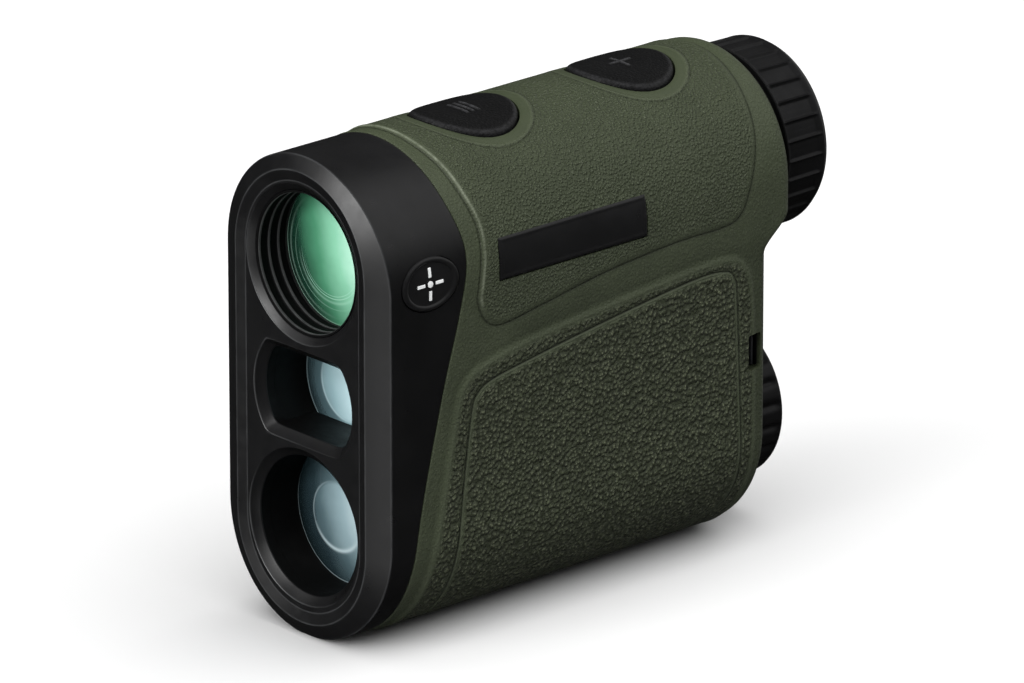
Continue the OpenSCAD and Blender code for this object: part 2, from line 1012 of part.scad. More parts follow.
module battery_leads() {
    wire_r = 0.4;
    color("#a12a25")
        placed() {
            rod_x(47, battery_z, wire_r, -12.6, -1.25);
            rod_z(-12.6, 47, wire_r, battery_z, 23.5);
            rod_y(19.4, wire_r, 53, 69.9, -12.4);
            rod_z(-12.4, 53, wire_r, 19.4, 23.5);
        }
}

// The battery touches the front contact with its raised terminal
module battery() {
    color("#4a5a78")
        placed() {
            rod_y(battery_z, battery_r, battery_y1, battery_y2);
            rod_y(battery_z, 3.2, 49.6, battery_y1 + 0.1);
        }
}

module cap_contact() {
    color("#c9b36b")
        placed()
            rod_y(battery_z, 7.4, 83.3, cap_inner_y - 0.05);
}

// Cone-shaped coil spring, swept as a tube along its own helix
function coil_ring(a, turns, r1, r2, y1, y2, wire, sides) =
    let (
        t = a / (360 * turns),
        r = r1 + (r2 - r1) * t,
        y = y1 + (y2 - y1) * t
    )
    [for (k = [0 : sides - 1])
        let (b = 360 * k / sides, rr = r + wire * cos(b))
        [rr * cos(a), y + wire * sin(b), rr * sin(a)]];

module cap_spring() {
    turns = 4;
    steps = 64;
    sides = 8;
    wire = 0.35;
    rings = [for (s = [0 : steps])
        coil_ring(360 * turns * s / steps, turns, 3.4, 6.2, battery_y2 + 0.4, 82.9, wire, sides)];
    points = [for (ring = rings, p = ring) p];
    walls = [for (s = [0 : steps - 1], k = [0 : sides - 1])
        let (a = s * sides + k, b = s * sides + (k + 1) % sides)
        [a, a + sides, b + sides, b]];
    start = [for (k = [0 : sides - 1]) k];
    finish = [for (k = [sides - 1 : -1 : 0]) steps * sides + k];
    color("#c0c3c7")
        placed()
            translate([0, 0, battery_z])
                polyhedron(points = points, faces = concat(walls, [start, finish]));
}

module battery_cap() {
    end_round = 1.8;
    dish_r = 9.6;
    dish_y = 0.9;
    flute_r = 1.1;
    color("#1b1b1d")
        placed()
            difference() {
                union() {
                    turned(battery_z) {
                        translate([0, knob_y1])
                            square([cap_r, cap_end_y - end_round - knob_y1]);
                        translate([0, knob_y1])
                            square([cap_r - end_round, cap_end_y - knob_y1]);
                        translate([cap_r - end_round, cap_end_y - end_round])
                            circle(end_round);
                    }
                    rod_y(battery_z, skirt_r, skirt_y1, knob_y1 + 0.1);
                }
                rod_y(battery_z, skirt_r_in, skirt_y1 - over, cap_inner_y);
                ring_y(battery_z, 12, 10.6, knob_y1 - over, 77.95);
                rod_y(battery_z, dish_r, cap_end_y - dish_y, cap_end_y + over);
                block([-7.5, cap_end_y - dish_y - 0.9, battery_z - 1],
                    [7.5, cap_end_y + over, battery_z + 1]);
                for (i = [0 : cap_flutes - 1])
                    translate([0, 0, battery_z])
                        rotate([0, i * 360 / cap_flutes, 0])
                            rod_y(cap_r + flute_r - 0.45, flute_r, knob_y1 + 0.9, cap_end_y + over);
            }
}

module cap_seal_ring() {
    color("#0f0f10")
        placed()
            ring_y(battery_z, 11.9, 10.7, frame_y2 + 0.05, 77.9);
}

// ---------- eyepiece ----------

module focus_ring() {
    color("#2b2d2f")
        placed()
            turned(view_z)
                translate([ring_r_in, ring_y1])
                    square([ring_r - ring_r_in, ring_y2 - ring_y1]);
}

// Ribbed rubber grip; its rear lip turns in to form the eyecup
module eyecup_grip() {
    inner_r = ring_r + seat_gap;
    rim_r = 14.1;
    groove_r = 1.3;
    groove_depth = 0.45;
    color("#19191a")
        placed()
            difference() {
                turned(view_z)
                    polygon([
                        [inner_r, neck_y1], [neck_r, neck_y1], [neck_r, grip_y1],
                        [grip_r - 0.3, grip_y1], [grip_r, grip_y1 + 0.5],
                        [grip_r - 0.2, overall_l - 0.9], [rim_r, overall_l],
                        [eyecup_r + 0.6, overall_l], [eyecup_r, overall_l - 0.5],
                        [eyecup_r, ring_y2 + seat_gap], [inner_r, ring_y2 + seat_gap]
                    ]);
                for (i = [0 : grip_ribs - 1])
                    translate([0, 0, view_z])
                        rotate([0, i * 360 / grip_ribs, 0])
                            rod_y(grip_r + groove_r - groove_depth, groove_r, grip_y1 - 0.5,
                                overall_l + over);
            }
}

module ocular_cell() {
    color("#202124")
        placed()
            turned(view_z)
                difference() {
                    translate([9, ocular_y1])
                        square([ocular_r - 9, ocular_y2 - ocular_y1]);
                    translate([0, ocular_y1 - over])
                        square([ocular_bore_r, 89.5 - ocular_y1 + over]);
                }
}

module ocular_retaining_ring() {
    color("#8c8f93")
        placed()
            ring_y(view_z, ocular_lens_r, 8.8, 71.4, 72.9);
}

module field_lens() {
    color([0.8, 0.9, 0.95, 0.4])
        placed()
            front_convex(view_z, ocular_lens_r, 74.4, 76, 36);
}

module ocular_spacer() {
    color("#2b2d2f")
        placed() {
            ring_y(view_z, ocular_lens_r, 9, 72.95, 74.1);
            ring_y(view_z, ocular_lens_r, 8.9, 76.05, 82.9);
        }
}

module eye_lens_front() {
    color([0.8, 0.9, 0.95, 0.4])
        placed()
            difference() {
                rod_y(view_z, ocular_lens_r, 82.95, 87.2);
                translate([0, 84.6 + 22, view_z])
                    sphere(22, $fn = lens_fn);
            }
}

module eye_lens_rear() {
    curve = 22;
    y1 = 84.6 + sag(ocular_lens_r, curve);
    color([0.8, 0.9, 0.95, 0.4])
        placed()
            biconvex(view_z, ocular_lens_r, y1 + 0.02, 89.2, curve, 45);
}

// ---------- buttons ----------

// Rubber key: crowned like the body, with a flange under the armour and a short stem
module button(y) {
    color("#1d1d1e")
        placed() {
            intersection() {
                rod_z(0, y, button_r, flange_z, far * 2);
                body_bar(panel_r + key_proud, 0, far * 2);
            }
            intersection() {
                rod_z(0, y, flange_r, flange_z, far * 2);
                body_bar(flange_top_r, 0, far * 2);
            }
            rod_z(0, y, stem_r, stem_z, flange_z + 0.1);
        }
}

module front_button() { button(front_button_y); }
module rear_button() { button(rear_button_y); }

front_bezel();
rubber_armour();
chassis_left();
chassis_right();
chassis_screws();
rear_frame();
rear_frame_screws();
right_nameplate();
left_nameplate();
right_badge();
left_badge();
lanyard_pin();
objective_cell();
objective_retaining_ring();
objective_seal_ring();
objective_front_element();
objective_rear_element();
emitter_cell();
emitter_lens();
laser_holder();
laser_diode();
receiver_cell();
receiver_lens();
receiver_cone();
receiver_filter();
photodiode();
receiver_board();
prism_holder();
prism_cover();
prism_holder_screws();
half_penta_prism();
roof_prism();
display_frame();
display_module();
display_flex();
main_board();
board_components();
button_carrier();
switch_board();
front_switch();
rear_switch();
switch_flex();
battery_tube();
front_contact();
battery_leads();
focus_ring();
eyecup_grip();
ocular_cell();
field_lens();
ocular_spacer();
eye_lens_front();
eye_lens_rear();
ocular_retaining_ring();
battery();
cap_spring();
cap_contact();
battery_cap();
cap_seal_ring();
front_button();
rear_button();
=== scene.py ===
import math
from functools import partialmethod

import bmesh
import bpy
import numpy as np
from mathutils import Matrix, Vector


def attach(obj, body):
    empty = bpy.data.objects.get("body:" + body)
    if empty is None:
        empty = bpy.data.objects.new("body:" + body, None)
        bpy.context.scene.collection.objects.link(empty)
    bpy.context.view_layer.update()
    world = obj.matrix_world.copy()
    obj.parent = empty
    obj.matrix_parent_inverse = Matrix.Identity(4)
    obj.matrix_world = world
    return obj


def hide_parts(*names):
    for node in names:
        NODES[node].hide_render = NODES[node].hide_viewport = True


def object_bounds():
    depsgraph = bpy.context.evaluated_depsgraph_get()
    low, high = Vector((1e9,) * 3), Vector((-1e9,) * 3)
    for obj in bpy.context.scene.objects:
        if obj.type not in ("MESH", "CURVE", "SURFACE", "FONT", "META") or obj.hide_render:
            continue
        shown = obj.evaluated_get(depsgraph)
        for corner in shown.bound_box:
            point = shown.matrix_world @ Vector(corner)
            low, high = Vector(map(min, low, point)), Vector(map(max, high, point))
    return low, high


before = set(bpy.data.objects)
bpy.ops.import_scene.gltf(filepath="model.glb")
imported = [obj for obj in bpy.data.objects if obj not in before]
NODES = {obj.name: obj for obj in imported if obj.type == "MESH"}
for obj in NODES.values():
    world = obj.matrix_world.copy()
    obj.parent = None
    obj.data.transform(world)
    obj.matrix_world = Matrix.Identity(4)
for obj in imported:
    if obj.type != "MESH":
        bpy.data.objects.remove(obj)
CAD_LOW, CAD_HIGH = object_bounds()

# Lengths are in mm, with Y counted from the front rim backwards, until to_m() puts them in the frame
MM, PER_M = 0.001, 1000
# How far the front rim lies in front of the origin
FRONT = (CAD_HIGH.y - CAD_LOW.y) / MM / 2

# The body's outline: round ends about LOW_Z and TOP_Z, joined by flat flanks. Its radius on the bezel, and on
# the armour's smooth bands, raised panels and inside
LOW_Z, TOP_Z = 18.0, 57.0
BEZEL_R, BAND_R, PANEL_R, SKIN_R = 18.2, 18.3, 18.6, 16.7
# How far the armour's relief may stand out from the bands
RELIEF_MAX = 0.39
# The bezel's narrower rim, the bevel behind it, the recess inside it and the wall's back
RIM_R, RIM_LOW_Z, RIM_TOP_Z = 14.35, 16.6, 58.6
RIM_BEVEL_Y = 1.85
RECESS_R, RECESS_Y = 12.6, 0.5
WALL_Y = 3.4
# The gap between bezel and armour, and the rounding of the armour's front edge
SEAM_GAP, FRONT_ROUND = 0.05, 0.25
# The two rear faces, their rounded edge, and the heights where one slopes into the other
LOW_REAR_Y, TOP_REAR_Y, REAR_ROUND = 78.3, 83.2, 2.4
STEP_LOW_Z, STEP_TOP_Z = 46.5, 52.5
# Axes of the objective, the emitter, the receiver and the battery cap
VIEW_Z, EMIT_Z, RECV_Z, CAP_Z = 58.4, 37.5, 17.15, 17.1
# Openings: radius at the face, radius of the bore, depth of the bevel between them
VIEW_BORE, EMIT_BORE, RECV_BORE = (12.25, 11.2, 0.85), (10.9, 9.7, 1.35), (12.15, 10.85, 1.1)
# Half height of the emitter's opening, whose top and bottom are flat
EMIT_HALF = 7.4
# Rear holes, as (radius, where the wall ends); their eased lip; a height between them
EYE_HOLE, CAP_HOLE = (12.6, 76), (13.0, 74.5)
HOLE_LIP, BETWEEN_Z = 0.35, 40
# The buttons: face, gap round it, flange, stem and places
BUTTON_R, BUTTON_GAP, BUTTON_TOP_R = 8.1, 0.3, PANEL_R + 0.26
FLANGE_R, FLANGE_TOP_R, FLANGE_Z = 8.7, 16.3, 70.3
STEM_R, STEM_Z = 2.2, 68.95
BUTTONS_Y = (32.5, 64.1)
# Height of the pictograms, and where the crown begins
MARK_H, CROWN_Z = 0.2, 66
# Nameplate and oval badge
PLATE_Y, PLATE_Z = (23.1, 52.6), (55.5, 61.9)
BADGE_Y, BADGE_Z, BADGE_HALF = 9.6, 58.0, (5.5, 4.0)
# Two boxes that cut the lanyard's slot, from the flank and from the rear
SLOT_BOXES = [((13.6, 73.7, 28.8), (25, 76.5, 34.5)), ((13.6, 74.4, 28.8), (15.6, 90, 34.5))]

# Outlines seen from the side, as (behind the rim, height)
BEZEL_EDGE = [
    (6.4, -14), (6.2, -4), (6, 5), (6.4, 14), (8.2, 24.6), (12.2, 40.9), (15.4, 51.9), (17, 60.7),
    (15.8, 69), (14.8, 78), (14.4, 88),
]
UPPER_PANEL = [
    (14, 96), (14.8, 90), (16.4, 80), (17.4, 75.6), (18.5, 72.5), (19.3, 68.4), (20.1, 64.5),
    (20, 60.5), (19.4, 56), (19.1, 53.2), (20.1, 50.5), (22, 48.9), (25, 48.7), (33, 50), (45, 51.9),
    (59, 53.1), (69, 53.2), (72.2, 54.6), (73.8, 58), (76.4, 64.8), (77.8, 70.5), (79, 76), (80, 82),
    (80.5, 90), (80.6, 96),
]
LOWER_FRAME = [
    (8.2, -12), (8.2, -6), (8.3, 0), (8.7, 6), (9.6, 14), (11, 21), (13.1, 31.5), (14.6, 38.5),
    (16, 41), (18.2, 42.7), (23, 44), (31, 45.3), (47, 46.8), (63.5, 48.1), (70, 48), (73.2, 46.2),
    (74.8, 42), (75.4, 30), (75.4, 8), (75.4, -6), (75.4, -12),
]
LOWER_PANEL = [
    (15, 1), (14.6, 6), (14.8, 14), (16.1, 26), (17.6, 36.4), (18.7, 38.7), (21, 40.1), (27, 41.3),
    (43, 43.7), (61.5, 46), (68.6, 45.9), (70.7, 44.3), (71.2, 41), (71.7, 30), (72.2, 18), (72.2, 9.6),
    (70.8, 6.4), (67, 3.8), (60, 2.4), (50, 1.6), (30, 1), (20, 0.6),
]


# ---------- curves and outlines ----------

def smooth_line(points, steps, closed=False):
    """Catmull-Rom curve; an open one stops short of its first and last point."""
    p = np.array(points, float)
    n = len(p)
    spans = range(n) if closed else range(1, n - 2)
    t = np.arange(steps)[:, None] / steps
    out = []
    for i in spans:
        a, b, c, d = (p[(i + k) % n] for k in (-1, 0, 1, 2))
        out.append(0.5 * (2 * b + (c - a) * t + (2 * a - 5 * b + 4 * c - d) * t ** 2
                          + (3 * b - a - 3 * c + d) * t ** 3))
    return np.concatenate(out)


def inside_by(y, z, outline):
    """Distance of each point inside a closed outline, negative outside it."""
    p = np.stack([np.ravel(y), np.ravel(z)], 1)
    best = np.full(len(p), 1e9)
    inside = np.zeros(len(p), bool)
    for a, b in zip(outline, np.roll(outline, -1, 0)):
        ab = b - a
        t = np.clip(((p - a) @ ab) / max(ab @ ab, 1e-12), 0, 1)
        best = np.minimum(best, np.hypot(*(p - a - t[:, None] * ab).T))
        crosses = (a[1] > p[:, 1]) != (b[1] > p[:, 1])
        if a[1] != b[1]:
            inside ^= crosses & (p[:, 0] < (b[0] - a[0]) * (p[:, 1] - a[1]) / (b[1] - a[1]) + a[0])
    return np.where(inside, best, -best).reshape(np.shape(y))


def ease(t):
    t = np.clip(t, 0, 1)
    return t * t * (3 - 2 * t)


def bump(d, width):
    """A rounded ridge of height 1, centred on d = 0."""
    return np.exp(-(d / width) ** 2)


EDGE_LINE = smooth_line(BEZEL_EDGE, 6)
UPPER = smooth_line(UPPER_PANEL, 4)
FRAME_OUT = smooth_line(LOWER_FRAME, 4)
PANEL_IN = smooth_line(LOWER_PANEL, 4, closed=True)


def seam_y(z):
    """Where bezel and armour meet at height z."""
    return np.interp(z, EDGE_LINE[:, 1], EDGE_LINE[:, 0])


def rear_y(z):
    """The armour's rear face: the lower one, the slope, or the upper one."""
    return LOW_REAR_Y + (TOP_REAR_Y - LOW_REAR_Y) * ease((z - STEP_LOW_Z) / (STEP_TOP_Z - STEP_LOW_Z))


def loop(n_arc, n_flank, low, top):
    """A closed loop of columns round the body: centre height, and outward direction in X and Z."""
    a = np.radians(np.linspace(-90, 0, n_arc + 1))[:-1]
    b = np.linspace(low, top, n_flank + 1)[:-1]
    c = np.radians(np.linspace(0, 90, n_arc + 1))
    cz = np.concatenate([np.full(len(a), low), b, np.full(len(c), top)])
    nx = np.concatenate([np.cos(a), np.ones(len(b)), np.cos(c)])
    nz = np.concatenate([np.sin(a), np.zeros(len(b)), np.sin(c)])
    nx[0] = nx[-1] = 0
    back = slice(len(cz) - 2, 0, -1)
    return np.concatenate([cz, cz[back]]), np.concatenate([nx, -nx[back]]), np.concatenate([nz, nz[back]])


def fillet(a, p, b, radius, steps):
    """The arc that rounds the corner p between a and b; each is an array of points."""
    def unit(v):
        return v / np.linalg.norm(v, axis=-1, keepdims=True)
    u, v = unit(a - p), unit(b - p)
    half = np.arccos(np.clip((u * v).sum(-1, keepdims=True), -1, 1)) / 2
    centre = p + unit(u + v) * radius / np.sin(half)
    s, e = p + u * radius / np.tan(half) - centre, p + v * radius / np.tan(half) - centre
    turn = np.pi - 2 * half
    return [centre + (np.sin((1 - f) * turn) * s + np.sin(f * turn) * e) / np.sin(turn)
            for f in np.linspace(0, 1, steps + 1)]


# ---------- mesh helpers ----------

def to_m(points):
    return (np.asarray(points, float) - [0, FRONT, 0]) * MM


def add_mesh(name, points, faces, sharp_deg=35):
    mesh = bpy.data.meshes.new(name)
    mesh.from_pydata(to_m(points).tolist(), [], faces)
    ob = bpy.data.objects.new(name, mesh)
    bpy.context.scene.collection.objects.link(ob)
    tidy_mesh(ob, sharp_deg)
    return ob


def tidy_mesh(ob, sharp_deg):
    """Outward normals, and smooth shading up to an angle."""
    b = bmesh.new()
    b.from_mesh(ob.data)
    bmesh.ops.remove_doubles(b, verts=b.verts, dist=1e-7)
    bmesh.ops.recalc_face_normals(b, faces=b.faces)
    b.to_mesh(ob.data)
    b.free()
    ob.data.polygons.foreach_set("use_smooth", [True] * len(ob.data.polygons))
    ob.data.set_sharp_from_angle(angle=math.radians(sharp_deg))
    ob.data.update()


def circle(n):
    """Angles of n points round a full turn."""
    return np.linspace(0, 2 * np.pi, n, endpoint=False)


def grid_faces(rows, columns, wrap=True):
    """Quads of a grid whose vertex number is row * columns + column."""
    i = np.arange(rows - 1)[:, None] * columns
    j = np.arange(columns if wrap else columns - 1)[None, :]
    k = (j + 1) % columns
    return np.stack([i + j, i + k, i + columns + k, i + columns + j], -1).reshape(-1, 4).tolist()


def end_caps(rows, columns):
    """The two faces that close the first and the last row of a wrapped grid."""
    last = (rows - 1) * columns
    return [list(range(columns))[::-1], list(range(last, last + columns))]


def add_tube(name, rings, sharp_deg=35):
    """A piece from rings of points, with a flat face at each end."""
    rows, n = len(rings), len(rings[0])
    return add_mesh(name, np.concatenate(rings), grid_faces(rows, n) + end_caps(rows, n), sharp_deg)


def turned(name, profile, z, segments=96, shape=None, ring=False, sharp_deg=35):
    """A piece turned about an axis along Y; profile is (radius, y).

    shape(angle, radius, y) may change the radius. A ring's profile is closed; other ends are flat."""
    prof = np.array(profile, float)
    a = circle(segments)
    r = np.repeat(prof[:, :1], segments, 1)
    y = np.repeat(prof[:, 1:], segments, 1)
    if shape is not None:
        r = shape(a[None, :], r, y)
    points = np.stack([r * np.cos(a), y, z + r * np.sin(a)], -1).reshape(-1, 3)
    faces = grid_faces(len(prof), segments)
    if ring:
        last = (len(prof) - 1) * segments
        j = np.arange(segments)
        k = (j + 1) % segments
        faces += np.stack([last + j, last + k, k, j], -1).tolist()
    else:
        faces += end_caps(len(prof), segments)
    return add_mesh(name, points, faces, sharp_deg)


def rounded(corners, radii, steps=5):
    """A profile through corners, each rounded by its radius."""
    out = []
    for i, (p, r) in enumerate(zip(corners, radii)):
        if r:
            three = (corners[i - 1], p, corners[(i + 1) % len(corners)])
            out += [tuple(q) for q in fillet(*(np.array(c, float) for c in three), r, steps)]
        else:
            out.append(tuple(p))
    return out


def densify(profile, step, closed=False):
    """The profile with points added along its straight runs, about step apart."""
    out = []
    for p, q in zip(profile, profile[1:] + (profile[:1] if closed else [])):
        n = max(1, int(math.hypot(q[0] - p[0], q[1] - p[1]) / step))
        out += [(p[0] + (q[0] - p[0]) * k / n, p[1] + (q[1] - p[1]) * k / n) for k in range(n)]
    return out if closed else out + [profile[-1]]


def box_cutter(low, high, edge):
    """A box with bevelled edges, as a cutter."""
    corners = [(x, y, z) for x in (low[0], high[0]) for y in (low[1], high[1]) for z in (low[2], high[2])]
    faces = [(0, 1, 3, 2), (4, 6, 7, 5), (0, 4, 5, 1), (2, 3, 7, 6), (0, 2, 6, 4), (1, 5, 7, 3)]
    ob = add_mesh("cutter", corners, faces)
    m = ob.modifiers.new("round", "BEVEL")
    m.width, m.segments, m.limit_method = edge * MM, 3, "NONE"
    return ob


def cut(ob, cutters, sharp_deg):
    """Cuts the cutters out of the piece and removes them."""
    for c in cutters:
        m = ob.modifiers.new("cut", "BOOLEAN")
        m.operation, m.solver, m.object = "DIFFERENCE", "MANIFOLD", c
    bpy.context.view_layer.update()
    made = bpy.data.meshes.new_from_object(ob.evaluated_get(bpy.context.evaluated_depsgraph_get()))
    ob.modifiers.clear()
    ob.data = made
    for c in cutters:
        bpy.data.objects.remove(c)
    tidy_mesh(ob, sharp_deg)
    return ob


def paint(ob, name, values):
    """A value at each point, for the material to read."""
    layer = ob.data.attributes.new(name, "FLOAT", "POINT")
    layer.data.foreach_set("value", np.asarray(values, np.float32))


def places(ob):
    """The mesh's points in mm, as x, y, z."""
    co = np.zeros(len(ob.data.vertices) * 3)
    ob.data.vertices.foreach_get("co", co)
    p = co.reshape(-1, 3) / MM
    return p[:, 0], p[:, 1] + FRONT, p[:, 2]


# ---------- materials ----------

EULER = 2.718


class Shader:
    """A Principled material with helpers for procedural detail."""

    def __init__(self, name, **values):
        self.mat = bpy.data.materials.new(name)
        self.mat.use_nodes = True
        self.tree = self.mat.node_tree
        self.bsdf = next(n for n in self.tree.nodes if n.type == "BSDF_PRINCIPLED")
        for key, v in values.items():
            self.bsdf.inputs[key.replace("_", " ")].default_value = v
        self.where = self.node("ShaderNodeTexCoord").outputs["Object"]
        self.normal = None

    def node(self, kind, **settings):
        n = self.tree.nodes.new(kind)
        for key, v in settings.items():
            setattr(n, key, v)
        return n

    def link(self, a, b):
        self.tree.links.new(a, b)

    def noise(self, size_mm, detail=3.0, stretch=None):
        where = self.where
        if stretch:
            m = self.node("ShaderNodeMapping")
            m.inputs["Scale"].default_value = stretch
            self.link(where, m.inputs["Vector"])
            where = m.outputs["Vector"]
        n = self.node("ShaderNodeTexNoise")
        n.inputs["Scale"].default_value = PER_M / size_mm
        n.inputs["Detail"].default_value = detail
        n.inputs["Roughness"].default_value = 0.55
        self.link(where, n.inputs["Vector"])
        return n.outputs[0]

    def pebbles(self, size_mm, warp):
        """Rounded cells of uneven outline, high in their middles."""
        w = self.node("ShaderNodeTexNoise")
        w.inputs["Scale"].default_value = PER_M / (size_mm * 1.6)
        self.link(self.where, w.inputs["Vector"])
        mix = self.node("ShaderNodeVectorMath", operation="MULTIPLY_ADD")
        self.link(w.outputs["Color"], mix.inputs[0])
        mix.inputs[1].default_value = (size_mm * MM * warp * 2,) * 3
        self.link(self.where, mix.inputs[2])
        v = self.node("ShaderNodeTexVoronoi", feature="SMOOTH_F1")
        v.inputs["Scale"].default_value = PER_M / size_mm
        v.inputs["Smoothness"].default_value = 0.45
        self.link(mix.outputs[0], v.inputs["Vector"])
        return self.ramp(v.outputs["Distance"], [(0.05, 1), (0.75, 0)])

    def ramp(self, value, stops):
        """A value or colour ramp from (position, grey or colour) stops."""
        n = self.node("ShaderNodeValToRGB")
        e = n.color_ramp.elements
        while len(e) < len(stops):
            e.new(0.5)
        for item, (at, c) in zip(e, stops):
            item.position = at
            item.color = (c, c, c, 1) if isinstance(c, (int, float)) else (*c, 1)
        self.link(value, n.inputs["Fac"])
        return n.outputs["Color"]

    def math(self, operation, a, b=0):
        n = self.node("ShaderNodeMath", operation=operation)
        for i, v in enumerate((a, b)):
            if isinstance(v, (int, float)):
                n.inputs[i].default_value = v
            else:
                self.link(v, n.inputs[i])
        return n.outputs[0]

    add, sub = partialmethod(math, "ADD"), partialmethod(math, "SUBTRACT")
    mul, div = partialmethod(math, "MULTIPLY"), partialmethod(math, "DIVIDE")
    most = partialmethod(math, "MAXIMUM")

    def mix(self, factor, a, b):
        n = self.node("ShaderNodeMix", data_type="RGBA")
        for i, v in ((0, factor), (6, a), (7, b)):
            if isinstance(v, (int, float)):
                n.inputs[i].default_value = v
            elif isinstance(v, tuple):
                n.inputs[i].default_value = (*v, 1)
            else:
                self.link(v, n.inputs[i])
        return n.outputs[2]

    def line(self, value, at, width):
        """A soft line of height 1 where value is near at."""
        off = self.div(self.sub(value, at), width)
        return self.math("POWER", EULER, self.mul(self.mul(off, off), -1.0))

    def length(self, x, z):
        return self.math("SQRT", self.add(self.mul(x, x), self.mul(z, z)))

    def millimetres(self):
        """X, Y behind the rim and Z of the point, in mm."""
        split = self.node("ShaderNodeSeparateXYZ")
        self.link(self.where, split.inputs[0])
        x, y, z = (self.div(split.outputs[axis], MM) for axis in "XYZ")
        return x, self.add(y, FRONT), z

    def attribute(self, name):
        return self.node("ShaderNodeAttribute", attribute_name=name).outputs["Fac"]

    def colour(self, socket):
        self.link(socket, self.bsdf.inputs["Base Color"])

    def roughness(self, value, low, high):
        self.link(self.ramp(value, [(0.3, low), (0.7, high)]), self.bsdf.inputs["Roughness"])

    def relief(self, height, depth_mm):
        """Bump on top of the bump that is there already."""
        b = self.node("ShaderNodeBump")
        b.inputs["Strength"].default_value = 1.0
        b.inputs["Distance"].default_value = depth_mm * MM
        self.link(height, b.inputs["Height"])
        if self.normal is not None:
            self.link(self.normal, b.inputs["Normal"])
        self.normal = b.outputs["Normal"]
        self.link(self.normal, self.bsdf.inputs["Normal"])


def plain(name, colour, rough, grain_mm=0.35, depth_mm=0.008, vary=0.18, **values):
    """A moulded, cast or drawn surface: mottled colour, uneven gloss, fine grain and soft handling marks."""
    s = Shader(name, Metallic=0.0, **values)
    blotch = s.noise(7, 4)
    darker = tuple(c * (1 - vary) for c in colour)
    lighter = tuple(min(1, c * 1.25) for c in colour)
    s.colour(s.ramp(blotch, [(0.3, darker), (0.62, colour), (0.8, lighter)]))
    s.roughness(s.noise(2.2, 5), max(0.02, rough - 0.07), min(1, rough + 0.08))
    s.relief(s.noise(grain_mm, 4), depth_mm)
    return s.mat


def brushed(name, colour, rough, stretch):
    """A machined metal with fine lines across its stretch direction."""
    s = Shader(name, Metallic=1.0)
    lines = s.noise(0.5, 4, stretch=stretch)
    s.colour(s.ramp(lines, [(0.25, tuple(c * (1 - 0.2) for c in colour)), (0.75, colour)]))
    s.roughness(s.noise(1.6, 4), rough - 0.08, rough + 0.1)
    s.relief(lines, 0.004)
    return s.mat


def bezel_material():
    """Moulded black plastic, with painted highlights along the edges of the rim, chamfer and openings, brighter
    on the openings' lower left.
    """
    s = Shader("bezel_plastic", Specular_IOR_Level=0.45)
    x, y, z = s.millimetres()
    beyond = 0.05
    fade = [(0.0, 0.0), (0.9, 1.0)]

    def from_spine(low, top):
        """Distance from the line between the centres of two round ends."""
        near = s.math("MINIMUM", s.most(z, low), top)
        return s.length(x, s.sub(z, near))

    rim, body = from_spine(RIM_LOW_Z, RIM_TOP_Z), from_spine(LOW_Z, TOP_Z)
    behind = s.sub(y, s.mul(s.sub(rim, RIM_R), RIM_BEVEL_Y / (BEZEL_R - RIM_R)))
    # Painted highlights: thin light lines along the chamfer's back edge, the rim, the recess and the openings'
    # lower-left edges
    edge_highlight = s.line(s.add(behind, s.sub(BEZEL_R, body)), 0.02, 0.13)
    edges = [s.line(rim, RIM_R, 0.12), s.line(rim, RECESS_R, 0.1)]
    for centre, bore in ((VIEW_Z, VIEW_BORE), (RECV_Z, RECV_BORE)):
        up = s.sub(z, centre)
        lit_lower_left = s.ramp(s.mul(s.add(x, up), -0.06), fade)
        edges.append(s.mul(s.line(s.length(x, up), bore[0] + beyond, 0.1), lit_lower_left))
    up = s.sub(z, EMIT_Z)
    from_edge = s.most(s.sub(s.length(x, up), EMIT_BORE[0] + beyond),
                       s.sub(s.math("ABSOLUTE", up), EMIT_HALF + beyond))
    edges.append(s.mul(s.ramp(s.mul(x, -0.1), fade), s.line(from_edge, 0.0, 0.1)))
    face = s.ramp(y, [(0.6, 1.0), (0.75, 0.0)])
    for edge in edges:
        edge_highlight = s.most(edge_highlight, s.mul(edge, face))
    edge_highlight = s.mul(edge_highlight, s.ramp(s.noise(3, 4), [(0.3, 0.45), (0.7, 1.0)]))
    tone = s.ramp(s.noise(7, 4), [(0.3, (0.0034, 0.0034, 0.0036)), (0.75, (0.005, 0.005, 0.0053))])
    # The painted highlight lines lighten the black plastic
    s.colour(s.mix(edge_highlight, tone, (0.03, 0.031, 0.032)))
    s.roughness(s.noise(2.2, 5), 0.27, 0.38)
    s.relief(s.noise(0.25, 4), 0.005)
    return s.mat


